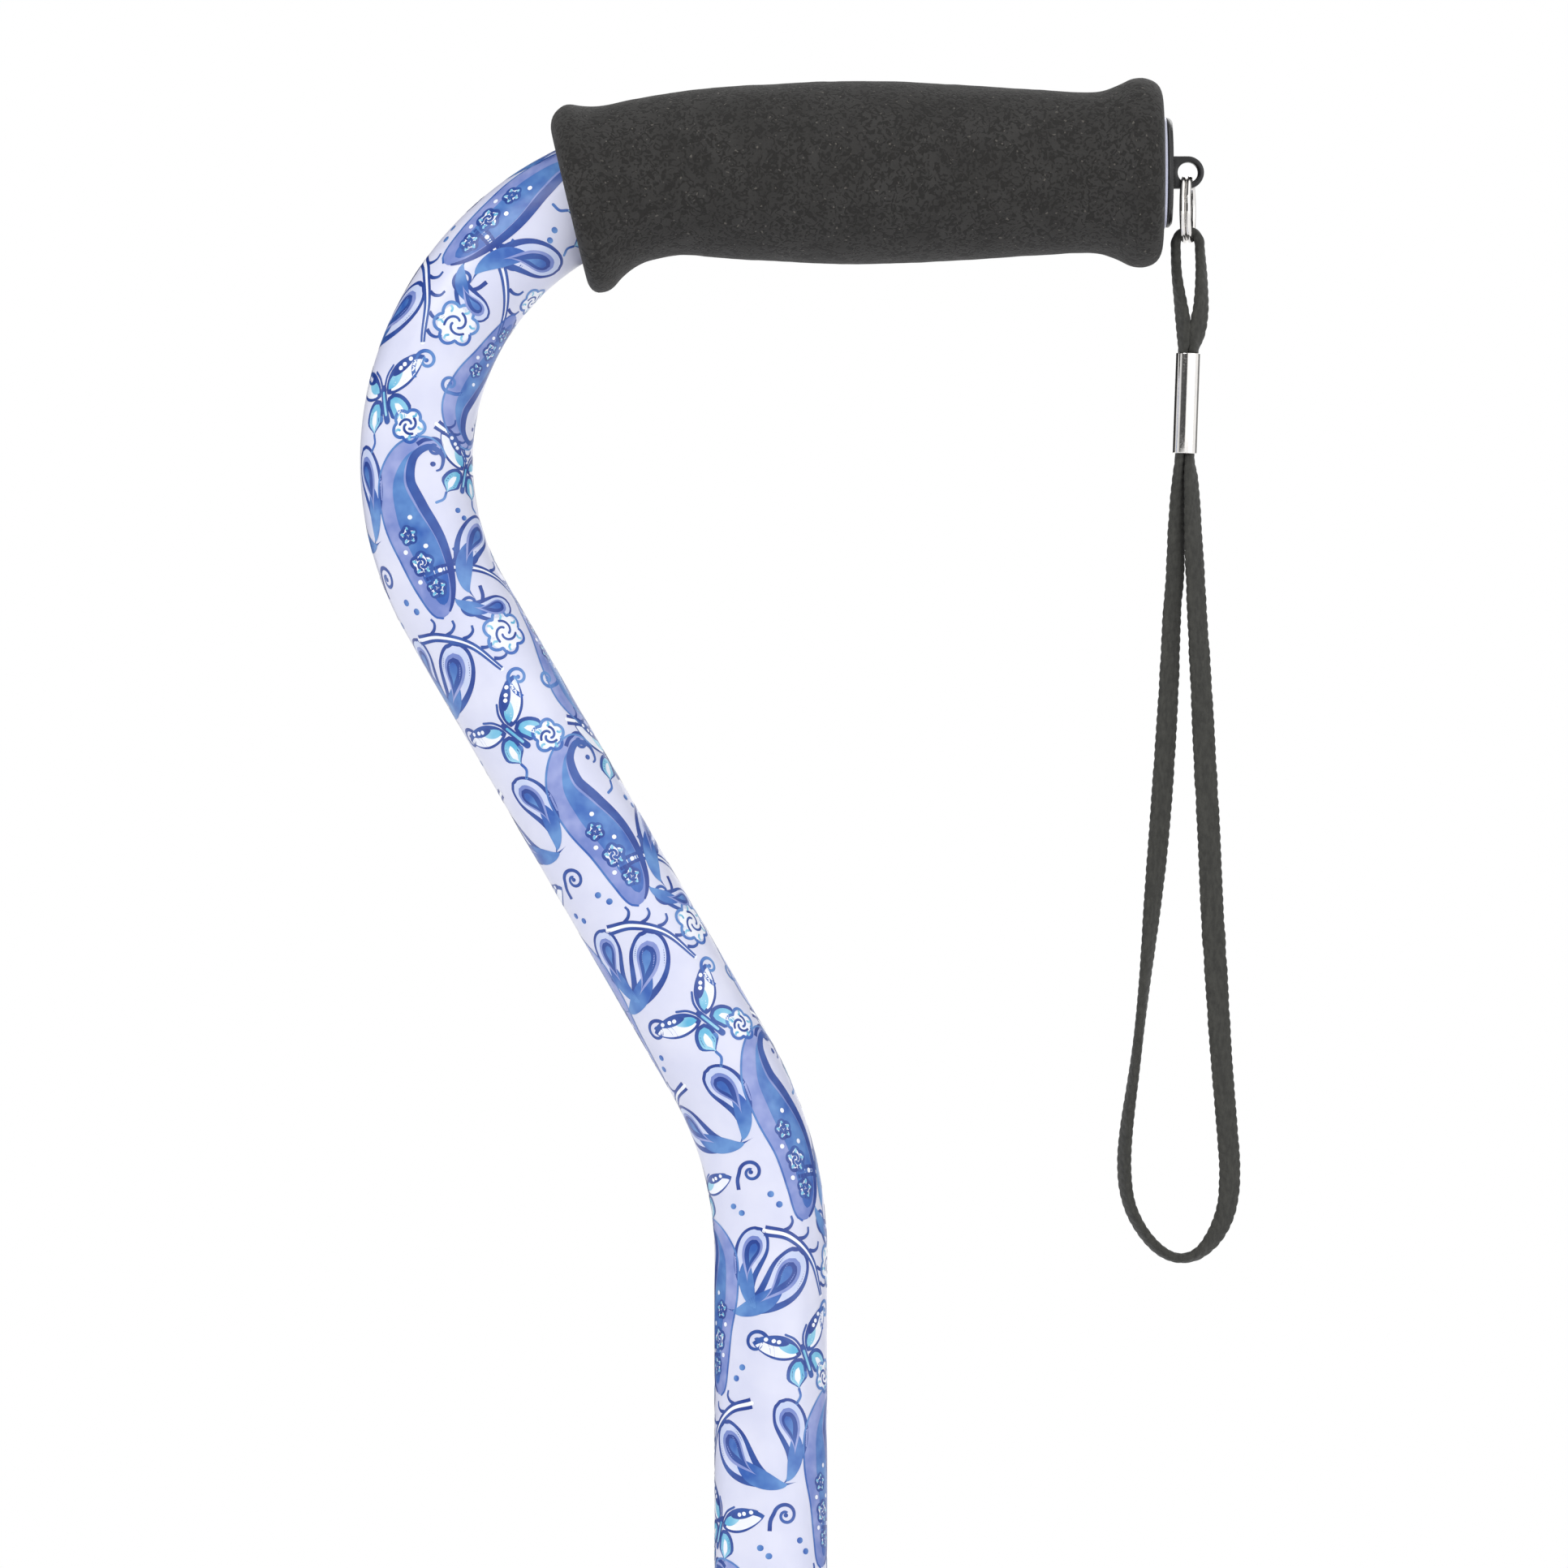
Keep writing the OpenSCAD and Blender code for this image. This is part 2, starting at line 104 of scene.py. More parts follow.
class Nodes:
    """Short calls for building the node tree of a material or of the world."""

    def __init__(self, owner, space="Object"):
        self.owner = owner
        self.tree = owner.node_tree
        self.place = self.add("ShaderNodeTexCoord").outputs[space]

    def add(self, kind, **values):
        node = self.tree.nodes.new(kind)
        for key, value in values.items():
            setattr(node, key, value)
        return node

    def link(self, source, target):
        self.tree.links.new(source, target)

    def stretched(self, scale):
        mapping = self.add("ShaderNodeMapping")
        mapping.inputs["Scale"].default_value = scale
        self.link(self.place, mapping.inputs["Vector"])
        return mapping.outputs["Vector"]

    def noise(self, scale, detail=3.0, distortion=0.0, vector=None):
        node = self.add("ShaderNodeTexNoise")
        node.inputs["Scale"].default_value = scale
        node.inputs["Detail"].default_value = detail
        node.inputs["Distortion"].default_value = distortion
        self.link(vector or self.place, node.inputs["Vector"])
        return node.outputs["Fac"]

    def ranged(self, source, *limits, blend="LINEAR"):
        """Maps the source between ranges. The limits are from low, from high, to low, to high."""
        node = self.add("ShaderNodeMapRange", interpolation_type=blend)
        for name, value in zip(("From Min", "From Max", "To Min", "To Max"), limits):
            node.inputs[name].default_value = value
        self.link(source, node.inputs["Value"])
        return node.outputs["Result"]

    def mixed(self, factor, first, second):
        node = self.add("ShaderNodeMix", data_type="RGBA")
        colour_in = [s for s in node.inputs if s.type == "RGBA"]
        colour_out = [s for s in node.outputs if s.type == "RGBA"][0]
        factor_in = [s for s in node.inputs if s.type == "VALUE"][0]
        self.link(factor, factor_in)
        for socket, value in zip(colour_in, (first, second)):
            if isinstance(value, tuple):
                socket.default_value = value
            else:
                self.link(value, socket)
        return colour_out

    def bump(self, height, strength, distance, after=None):
        node = self.add("ShaderNodeBump")
        node.inputs["Strength"].default_value = strength
        node.inputs["Distance"].default_value = distance
        self.link(height, node.inputs["Height"])
        if after is not None:
            self.link(after, node.inputs["Normal"])
        return node.outputs["Normal"]

    def either(self, choice, no, yes):
        node = self.add("ShaderNodeMixShader")
        for source, socket in zip((choice, no, yes), node.inputs):
            self.link(source, socket)
        return node.outputs["Shader"]

    def finish(self, colour, rough, normal, metal=0.0, coat=0.0, sheen=0.0, ior=1.5):
        surface = self.tree.nodes["Principled BSDF"].inputs
        self.link(colour, surface["Base Color"])
        self.link(rough, surface["Roughness"])
        self.link(normal, surface["Normal"])
        surface["Metallic"].default_value = metal
        surface["IOR"].default_value = ior
        surface["Coat Weight"].default_value = coat
        surface["Coat Roughness"].default_value = 0.15
        surface["Sheen Weight"].default_value = sheen
        return self.owner


def new_material(name):
    """A new material, as its nodes."""
    material = bpy.data.materials.new(name)
    material.use_nodes = True
    return Nodes(material)


def look(
    name, colour, other, rough, patch=120, grain=2500, bump=0.15, depth=0.05 * MM, stretch=(1, 1, 1), **finish
):
    """A surface whose colour drifts between two values, with grain in its roughness and its bump."""
    n = new_material(name)
    vector = n.stretched(stretch)
    tint = n.mixed(n.ranged(n.noise(patch, vector=vector), 0.35, 0.65, 0, 1), rgb(*colour), rgb(*other))
    fine = n.noise(grain, detail=4, vector=vector)
    return n.finish(
        tint,
        n.ranged(fine, 0.3, 0.7, rough - 0.05, rough + 0.07),
        n.bump(fine, bump, depth),
        **finish,
    )


def foam_look():
    """Closed-cell foam: a dark skin with wormlike creases about a millimetre apart; the creases are darkened
    with painted shade.
    """
    n = new_material("foam")
    worms = n.noise(760, detail=1.5, distortion=1.6)
    crease = n.ranged(worms, 0.44, 0.52, 0, 1)
    patches = n.ranged(n.noise(140, detail=2), 0.35, 0.65, 0, 1)
    skin = n.mixed(patches, rgb(56, 55, 54), rgb(49, 48, 47))
    speck = n.ranged(n.noise(1500, detail=0), 0.78, 0.82, 0, 1)
    # Painted shade: the creases are coloured darker than the skin, as if shadowed
    shaded_creases = n.mixed(crease, rgb(38, 37, 36), skin)
    colour = n.mixed(speck, shaded_creases, rgb(88, 85, 81))
    fine = n.noise(3200, detail=2)
    normal = n.bump(fine, 0.35, 0.05 * MM, n.bump(crease, 0.5, 0.18 * MM))
    return n.finish(colour, n.ranged(fine, 0.3, 0.7, 0.78, 0.95), normal, sheen=0.08, ior=1.35)


def ink_look(name, start, end):
    """Print: runs from one colour to the other along each stroke, with a drift like thin watercolour."""
    n = new_material(name)
    share = n.add("ShaderNodeAttribute", attribute_name="shade").outputs["Fac"]
    drift = n.add("ShaderNodeMath", operation="ADD")
    n.link(share, drift.inputs[0])
    n.link(n.ranged(n.noise(260, detail=2), 0.3, 0.7, -0.45, 0.45), drift.inputs[1])
    colour = n.mixed(n.ranged(drift.outputs["Value"], 0, 1, 0, 1), rgb(*start), rgb(*end))
    fine = n.noise(2500)
    return n.finish(colour, n.ranged(fine, 0.3, 0.7, 0.3, 0.42), n.bump(fine, 0.05, 0.03 * MM), coat=0.25)


LOOKS = {
    "printed_tube": look(
        "printed_tube", (213, 216, 239), (223, 225, 244), 0.36, patch=90, bump=0.06, depth=0.03 * MM,
        coat=0.25,
    ),
    "foam": foam_look(),
    "black_plastic": look("black_plastic", (26, 26, 28), (34, 34, 36), 0.3, patch=200, bump=0.12),
    "ring_steel": look(
        "ring_steel", (250, 247, 243), (240, 238, 236), 0.1, patch=300, bump=0.05, depth=0.02 * MM, metal=1.0
    ),
    "braid": look(
        "braid", (46, 46, 43), (60, 60, 56), 0.82, patch=1400, grain=5200, bump=0.5, depth=0.08 * MM,
        stretch=(1, 1, 0.35), sheen=0.08,
    ),
    "nylon": look("nylon", (224, 220, 208), (212, 208, 196), 0.45),
    "post_metal": look(
        "post_metal", (190, 192, 198), (172, 175, 182), 0.3, patch=160, grain=1800, bump=0.08,
        depth=0.02 * MM, stretch=(1, 1, 0.04), metal=1.0,
    ),
    "spring_steel": look("spring_steel", (180, 181, 184), (160, 161, 166), 0.28, bump=0.08, metal=1.0),
    "base_paint": look(
        "base_paint", (30, 30, 32), (40, 40, 43), 0.34, patch=150, grain=1100, bump=0.3, depth=0.06 * MM,
        coat=0.2,
    ),
    "zinc_steel": look(
        "zinc_steel", (196, 198, 200), (170, 174, 182), 0.27, patch=350, bump=0.12, depth=0.03 * MM, metal=1.0
    ),
    "tip_rubber": look("tip_rubber", (38, 38, 39), (52, 51, 50), 0.68, patch=170, grain=1500, bump=0.35),
}
INKS = {
    "dark": ink_look("ink_dark", (24, 60, 146), (52, 92, 170)),
    "mid": ink_look("ink_mid", (42, 92, 178), (98, 146, 208)),
    "aqua": ink_look("ink_aqua", (92, 178, 218), (156, 212, 236)),
    "haze": ink_look("ink_haze", (112, 132, 200), (158, 168, 220)),
    "pale": ink_look("ink_pale", (196, 208, 240), (216, 220, 246)),
    "white": ink_look("ink_white", (246, 248, 255), (236, 240, 254)),
}


# ---- Meshes ----

def shade(mesh, crease=CREASE):
    mesh.shade_smooth()
    mesh.set_sharp_from_angle(angle=math.radians(crease))


def piece(name, shape, body, slot, replaces=(), crease=CREASE):
    """A piece made from (vertices, faces), smooth but for its corners, riding on a CAD body."""
    verts, faces = shape
    mesh = bpy.data.meshes.new(name)
    mesh.from_pydata([tuple(v) for v in verts], [], faces)
    tidy = bmesh.new()
    tidy.from_mesh(mesh)
    bmesh.ops.remove_doubles(tidy, verts=tidy.verts, dist=1e-7)
    bmesh.ops.recalc_face_normals(tidy, faces=tidy.faces)
    tidy.to_mesh(mesh)
    tidy.free()
    obj = added(name, mesh)
    shade(mesh, crease)
    mesh.materials.append(LOOKS[slot])
    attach(obj, body)
    if replaces:
        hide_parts(*replaces)
    return obj


def loft(rings, wrap=False):
    """Skin over rings of equal size. It closes on itself if wrapped, and has flat ends otherwise."""
    rings = np.asarray(rings, float)
    count, sides = rings.shape[:2]
    faces = []
    for i in range(count if wrap else count - 1):
        a, b = i * sides, (i + 1) % count * sides
        faces += [(a + k, a + (k + 1) % sides, b + (k + 1) % sides, b + k) for k in range(sides)]
    if not wrap:
        faces += [tuple(range(sides)), tuple(range((count - 1) * sides, count * sides))]
    return rings.reshape(-1, 3), faces


def join(*shapes):
    verts, faces, base = [], [], 0
    for v, f in shapes:
        verts.append(v)
        faces += [tuple(i + base for i in face) for face in f]
        base += len(v)
    return np.concatenate(verts), faces


def line(origin, axis, across=X):
    """Straight centreline: gives the centre and two crosswise directions at a distance along it."""
    origin, axis, across = (np.asarray(v, float) for v in (origin, axis, across))
    other = np.cross(axis, across)
    return lambda at: (origin + at * axis, across, other)


def route(start, forward, turn_to, legs):
    """Centreline in one plane, from (length, bend radius) legs. A bend turns towards turn_to if its radius is
    positive, away from it if negative, and a radius of 0 is a straight run."""
    start, forward, turn_to = (np.asarray(v, float) for v in (start, forward, turn_to))
    side = np.cross(forward, turn_to)

    def along(at):
        x = y = heading = 0.0
        left = at
        for number, (length, radius) in enumerate(legs):
            run = left if number == len(legs) - 1 else min(left, length)
            after = heading + (run / radius if radius else 0)
            if radius:
                x += radius * (math.sin(after) - math.sin(heading))
                y += radius * (math.cos(heading) - math.cos(after))
            else:
                x += run * math.cos(heading)
                y += run * math.sin(heading)
            heading, left = after, left - run
            if left <= 0:
                break
        across = -math.sin(heading) * forward + math.cos(heading) * turn_to
        return start + x * forward + y * turn_to, across, side

    return along


def turned(outline, along, sides=96, shape=None):
    """Outline of (distance, radius) carried round a centreline. A shape function turns a ring's angles,
    distance and radius into its radii, or into one radius."""
    angles = np.arange(sides) * TURN / sides
    rings = []
    for at, radius in outline:
        centre, across, other = along(at)
        radii = radius if shape is None else shape(angles, at, radius)
        cosines, sines = radii * np.cos(angles), radii * np.sin(angles)
        rings.append(centre + np.outer(cosines, across) + np.outer(sines, other))
    return loft(rings, wrap=True)


def in_metres(rows):
    return [(at * MM, radius * MM) for at, radius in rows]


def ring_outline(start, end, inner, outer):
    return [(start, inner), (start, outer), (end, outer), (end, inner)]


def soften(points, radius, steps=4):
    """Closed outline, in millimetres, with rounded corners, turned into metres."""
    points = [np.array(p, float) for p in points]
    out = []
    for i, corner in enumerate(points):
        before, after = points[i - 1] - corner, points[(i + 1) % len(points)] - corner
        if corner[1] < 1e-6:
            out.append(corner)
            continue
        ends = [v / np.linalg.norm(v) * min(radius, 0.45 * np.linalg.norm(v)) for v in (before, after)]
        for t in np.linspace(0, 1, steps):
            out.append(corner + ends[0] * (1 - t) ** 2 + ends[1] * t ** 2)
    return in_metres(out)


def closer(outline, step):
    """Closed outline with points added, so that its rings lie about a step apart along the axis."""
    rows = []
    for (a, ra), (b, rb) in zip(outline, outline[1:] + outline[:1]):
        count = max(1, int(abs(b - a) / step))
        rows += [(a + (b - a) * t, ra + (rb - ra) * t) for t in np.linspace(0, 1, count, endpoint=False)]
    return rows


def smooth_line(points, step, closed=False):
    """Smooth curve through points of any dimension, sampled about every step."""
    p = np.asarray(points, float)
    if closed:
        p = np.vstack([p[-1:], p, p[:2]])
    else:
        p = np.vstack([2 * p[0] - p[1], p, 2 * p[-1] - p[-2]])
    out = []
    for a, b, c, d in zip(p, p[1:], p[2:], p[3:]):
        count = max(2, int(np.linalg.norm(c - b) / step) + 1)
        t = np.linspace(0, 1, count, endpoint=False)[:, None]
        square, cube = 2 * a - 5 * b + 4 * c - d, 3 * b - a - 3 * c + d
        out.append(0.5 * (2 * b + (c - a) * t + square * t**2 + cube * t**3))
    out.append(p[-2:-1])
    return np.vstack(out)


def lengths(points):
    """Distance along a line of points, from its start."""
    return np.concatenate([[0], np.cumsum(np.linalg.norm(np.diff(points, axis=0), axis=1))])


def headings(points):
    """Unit direction of a line at each of its points."""
    ahead = np.gradient(points, axis=0)
    return ahead / np.maximum(np.linalg.norm(ahead, axis=1), 1e-9)[:, None]


def wire(points, radius, sides=20):
    """Round wire along points, without twist. radius is one number or one for each point."""
    points = np.asarray(points, float)
    radii = np.broadcast_to(radius, len(points))
    ahead = headings(points)
    across = np.cross(ahead[0], X if abs(ahead[0][0]) < 0.8 else Y)
    angles = np.arange(sides) * TURN / sides
    rings = []
    for centre, direction, r in zip(points, ahead, radii):
        across = across - direction * (across @ direction)
        across /= np.linalg.norm(across)
        other = np.cross(direction, across)
        rings.append(centre + r * (np.outer(np.cos(angles), across) + np.outer(np.sin(angles), other)))
    return loft(rings)


def drilled(obj, drills):
    """Cuts round holes along Y, given as (centre, radius, half length), through a piece."""
    bars = [
        turned([(-half, 0), (-half, r), (half, r), (half, 0)], line(centre, Y), sides=48)
        for centre, r, half in drills
    ]
    cutter = piece("cutter", join(*bars), "base", "zinc_steel")
    cut = obj.modifiers.new("holes", "BOOLEAN")
    cut.operation = "DIFFERENCE"
    cut.solver = "EXACT"
    cut.object = cutter
    evaluated = obj.evaluated_get(bpy.context.evaluated_depsgraph_get())
    mesh = bpy.data.meshes.new_from_object(evaluated)
    obj.modifiers.clear()
    obj.data = mesh
    bpy.data.objects.remove(cutter)
    shade(mesh)


# ---- Wrist strap, in the plane of the handle ----

# Its middle line as (x, z, twist), measured from GRIP: up inside the ferrule, over the split ring, down
# through the ferrule, round the wrist loop and back into the ferrule. A twist of 0 sets the braid edge-on.
STRAP_ROUTE = [
    (81.05, -46, 0), (81.3, -41, 0), (81.45, -35.7, 4), (81.6, -32.5, 22), (81.4, -29.5, 26),
    (80.95, -26, 18), (80.15, -20, 4), (79.95, -15, 0), (80.0, -13.6, 0), (80.6, -12.4, 0),
    (81.4, -11.8, 0), (82.3, -11.6, 0), (83.2, -11.8, 0), (84.0, -12.4, 0), (84.6, -13.6, 0),
    (84.7, -15, 4), (85.0, -20, 16), (84.95, -26, 30), (84.5, -29.5, 40), (84.0, -32.5, 30),
    (83.4, -35.7, 8), (82.98, -46, 0), (82.65, -55.5, 4), (82.95, -60, 24), (83.2, -65, 34),
    (83.35, -70, 40), (83.55, -75, 46), (83.85, -80.5, 49), (84.15, -87, 52), (84.95, -101, 62),
    (85.7, -116, 72), (86.5, -131, 76), (87.1, -145, 78), (87.9, -158, 76), (88.9, -174, 64),
    (90.1, -189, 61), (90.6, -197, 59), (90.05, -204, 54), (87.9, -209.5, 42), (84.5, -213.3, 20),
    (80.6, -214.3, 4), (76.8, -212.7, 10), (73.2, -208.7, 13), (70.7, -203.4, 17), (69.8, -197, 22),
    (70.2, -189, 18), (72.2, -174, 2), (74.0, -158, -18), (75.3, -145, -40), (76.6, -131, -56),
    (77.7, -116, -58), (78.6, -101, -52), (79.2, -87, -44), (79.75, -80.5, -44), (79.95, -75, -43),
    (80.1, -70, -38), (80.3, -65, -32), (80.6, -60, -22), (80.8, -55.5, -4), (80.9, -51, 0),
    (81.05, -46.3, 0),
]
BRAID_HALF = 2.4 * MM
BRAID_THICK = 1.0 * MM
BRAID_PITCH = 1.75 * MM
BRAID_SIDES = 40


def braid():
    """Flat braid: plaits lie slantwise across both faces and leave the edges notched."""
    fine = smooth_line([(x * MM, 0, z * MM, math.radians(twist)) for x, z, twist in STRAP_ROUTE], 0.28 * MM)
    path = fine[:, :3] + GRIP
    run = lengths(path)
    angles = np.arange(BRAID_SIDES) * TURN / BRAID_SIDES
    over, up = (np.sign(c) * np.abs(c) ** 0.75 for c in (np.cos(angles), np.sin(angles)))
    rings = []
    for centre, direction, twist, at in zip(path, headings(path), fine[:, 3], run):
        wide = math.cos(twist) * Y + math.sin(twist) * np.cross(direction, Y)
        thin = np.cross(wide, direction)
        plait = np.abs(np.sin(math.pi * (at / BRAID_PITCH + 0.8 * np.abs(over))))
        edge = 0.92 + 0.06 * plait + 0.05 * noise.noise((at / (3.5 * MM), 0, 0))
        swell = 0.88 + 0.12 * plait
        sideways, outwards = BRAID_HALF * edge * over, BRAID_THICK * swell * up
        rings.append(centre + np.outer(sideways, wide) + np.outer(outwards, thin))
    return loft(rings), path, run[-1]


strap_shape, strap_path, strap_length = braid()
strap = piece("strap_braid", strap_shape, "strap", "braid", ["wrist_strap"], crease=60)


FERRULE_TOP = GRIP + (82.4 * MM, 0, -35.7 * MM)
FERRULE_FOOT = GRIP + (81.7 * MM, 0, -55.5 * MM)
FERRULE_R = 2.4
FERRULE_BORE_R = 2.05


def ferrule():
    """Crimped tube round the strap, a stadium in section, with a seam down the back."""
    tall = np.linalg.norm(FERRULE_TOP - FERRULE_FOOT)
    axis = (FERRULE_TOP - FERRULE_FOOT) / tall
    half_flat = 0.85 * MM
    seam_at = math.radians(100)

    def stadium(angles, at, radius):
        sine = np.abs(np.sin(angles))
        cosine = np.abs(np.cos(angles))
        flat = radius / np.maximum(cosine, 1e-9)
        end = half_flat * sine + np.sqrt(np.maximum(radius**2 - (half_flat * cosine) ** 2, 0))
        grown = np.where(flat * sine <= half_flat, flat, end)
        if radius < 2.2 * MM:
            return grown
        seam = np.exp(-(((angles - seam_at + math.pi) % TURN - math.pi) / 0.05) ** 2)
        return grown - 0.22 * MM * seam

    outline = soften(ring_outline(0, tall / MM, FERRULE_BORE_R, FERRULE_R), 0.16)
    return turned(outline, line(FERRULE_FOOT, axis, np.cross(Y, axis)), sides=240, shape=stadium)


crimp = piece("strap_ferrule", ferrule(), "strap", "ring_steel", ["crimp_ferrule"])
tuple(strap_path[0])
[tuple(p) for p in strap_path[::4]]


# ---- Handle tube ----

UPPER_BEND_R = 57 * MM
LOWER_BEND_R = 75 * MM
SLANT = math.radians(30)
BEND_X = -13 * MM
GRIP_RUN = TUBE_END_X - BEND_X
UPPER_ARC = UPPER_BEND_R * (math.pi / 2 + SLANT)
LOWER_ARC = LOWER_BEND_R * SLANT
BEND_END = np.array([BEND_X - UPPER_BEND_R * math.cos(SLANT), -UPPER_BEND_R * (1 + math.sin(SLANT))])
KNEE_TANGENT = LOWER_BEND_R * math.tan(SLANT / 2)
SLANT_RUN = -BEND_END[0] / math.sin(SLANT) - KNEE_TANGENT
KNEE_Z = GRIP[2] + BEND_END[1] - (SLANT_RUN + KNEE_TANGENT) * math.cos(SLANT) - KNEE_TANGENT
SHAFT_RUN = KNEE_Z - FOOT_Z
tube_line = route(
    GRIP + (TUBE_END_X, 0, 0),
    -X,
    -Z,
    [(GRIP_RUN, 0), (UPPER_ARC, UPPER_BEND_R), (SLANT_RUN, 0), (LOWER_ARC, -LOWER_BEND_R), (SHAFT_RUN, 0)],
)
TUBE_LENGTH = GRIP_RUN + UPPER_ARC + SLANT_RUN + LOWER_ARC + SHAFT_RUN
HOLE_R = 4.15 * MM
HOLE_PITCH = 19.05 * MM
BUTTON_Z = middle("snap_button")[2]
HOLES_Z = [BUTTON_Z + (7 - i) * HOLE_PITCH for i in range(13)]


def handle_tube():
    knots = np.cumsum([0, GRIP_RUN, UPPER_ARC, SLANT_RUN, LOWER_ARC])
    stations = [CUT_EDGE, *np.linspace(knots[1], knots[2], 80), *np.linspace(knots[3], knots[4], 26)]
    stations += [TUBE_LENGTH - CUT_EDGE]
    outline = [(0, TUBE_BORE_R + CUT_EDGE), (0, TUBE_R - CUT_EDGE)]
    outline += [(s, TUBE_R) for s in stations]
    outline += [(TUBE_LENGTH, TUBE_R - CUT_EDGE), (TUBE_LENGTH, TUBE_BORE_R + CUT_EDGE)]
    outline += [(s, TUBE_BORE_R) for s in reversed(stations)]
    return turned(outline, tube_line, sides=128)


tube = piece("tube_body", handle_tube(), "handle", "printed_tube", ["handle_tube"])
drilled(tube, [(np.array([*SHAFT[:2], z]), HOLE_R, 2 * TUBE_R) for z in HOLES_Z])


# ---- Printed pattern ----
# Drawn flat in millimetres, u to the right round the tube and v down it, then laid on the tube as thin ink.

ROUND = TURN * TUBE_R / MM
PRINT_START = 115.0  # from the grip's end, under the foam
PRINT_END = TUBE_LENGTH / MM - 21.5  # under the collar
TILE_START = PRINT_START - 8
TILE = 68.0
TILE_SHIFT = 5.0  # each repeat is turned this far round the tube
STEP = 0.4  # between the points of a stroke
STRIP = 1.1  # width of a stroke's strips
HOLE_RIM = 0.3  # bare rim round each height hole
INK_GAP = 0.015
INK_LAYER = 0.01  # each layer of ink lies this much further out
drawn = {tone: [] for tone in INKS}


def stamp(u, v, turn=0.0, size=1.0, flip=1, inside=None):
    """Places a motif's own coordinates on the sheet, or inside another stamp."""
    c, s = math.cos(math.radians(turn)), math.sin(math.radians(turn))

    def place(p):
        q = np.column_stack([
            u + size * (c * p[:, 0] * flip - s * p[:, 1]),
            v + size * (s * p[:, 0] * flip + c * p[:, 1]),
        ])
        return q if inside is None else inside(q)

    return place


def part(points, start, end):
    """The stretch of a smooth line between two shares of its length."""
    fine = smooth_line(points, STEP)
    share = lengths(fine) / lengths(fine)[-1]
    count = max(4, int((end - start) * lengths(fine)[-1] / STEP))
    wanted = np.linspace(start, end, count)
    return np.column_stack([np.interp(wanted, share, fine[:, k]) for k in range(2)])


def beside(points, offset):
    """A line moved sideways by an offset, which may vary along it."""
    ahead = headings(points)
    return points + np.column_stack([-ahead[:, 1], ahead[:, 0]]) * np.reshape(offset, (-1, 1))


def stroke(place, points, width, tone, layer=1, closed=False, smooth=True):
    """One brush stroke. width is a number, with round ends, or a function of the share of its length."""
    fine = smooth_line(points, STEP, closed) if smooth else np.asarray(points, float)
    run = lengths(fine)
    if callable(width):
        widths = width(run / run[-1])
    else:
        widths = np.full(len(fine), float(width))
        if not closed:
            first, last = fine[0] - fine[1], fine[-1] - fine[-2]
            first, last = first / np.linalg.norm(first), last / np.linalg.norm(last)
            cap = np.radians([90, 60, 30])
            before = [fine[0] + first * width / 2 * math.sin(a) for a in cap]
            after = [fine[-1] + last * width / 2 * math.sin(a) for a in cap[::-1]]
            fine = np.vstack([before, fine, after])
            widths = np.concatenate([width * np.cos(cap), widths, width * np.cos(cap[::-1])])
            run = lengths(fine)
    ahead = headings(fine)
    normal = np.column_stack([-ahead[:, 1], ahead[:, 0]])
    strips = max(2, int(widths.max() / STRIP) + 2)
    across = np.linspace(-0.5, 0.5, strips)[:, None]
    grid = fine[:, None] + (normal * widths[:, None])[:, None] * across
    share = np.repeat((run / run[-1])[:, None], strips, axis=1)
    drawn[tone].append((place(grid.reshape(-1, 2)), share.ravel(), layer, grid.shape[:2]))


def paint(place, points, width, tone, layer=1):
    """A stroke along points that need no smoothing."""
    stroke(place, points, width, tone, layer, smooth=False)


def dot(place, x, y, radius, tone, layer):
    short = 0.1 * radius
    paint(place, [(x - short, y), (x, y), (x + short, y)], 2 * radius, tone, layer)


def drop(wide, head=0.27):
    """Width of a teardrop: round at its start, with a long tail."""
    def width(t):
        inside = np.sqrt(np.clip(1 - (1 - t / head) ** 2, 0, 1))
        tail = 0.5 + 0.5 * np.cos(math.pi * np.clip((t - head) / (1 - head), 0, 1))
        return wide * np.where(t < head, inside, tail)
    return width


def leaf(wide):
    """Width of a leaf, pointed at both ends."""
    return lambda t: wide * np.sin(math.pi * np.clip(t, 0, 1) ** 0.9) ** 0.75


def oval(wide):
    """Width of an ellipse."""
    return lambda t: wide * np.sqrt(np.clip(1 - (2 * t - 1) ** 2, 0, 1))


def polar(radius, angle):
    return np.column_stack([radius * np.cos(angle), radius * np.sin(angle)])


def paisley(place):
    """Teardrop with a bent tail and smaller drops inside."""
    wide = 7.4
    spine = [(0, -3.6), (0.5, 0), (0.3, 4), (-1.2, 8), (-4.2, 11.6), (-7.4, 13)]
    paint(place, part(spine, 0, 1), drop(wide), "dark", 1)
    paint(place, part(spine, 0.035, 0.8), drop(wide - 1.5), "pale", 2)
    paint(place, beside(part(spine, 0.36, 0.9), -0.1), leaf(wide * 0.46), "mid", 3)
    paint(place, beside(part(spine, 0.1, 0.62), 0.2), drop(wide * 0.56), "haze", 4)
    paint(place, beside(part(spine, 0.14, 0.56), 0.3), drop(wide * 0.42), "dark", 5)
    paint(place, beside(part(spine, 0.18, 0.42), 0.5), drop(wide * 0.22), "mid", 6)


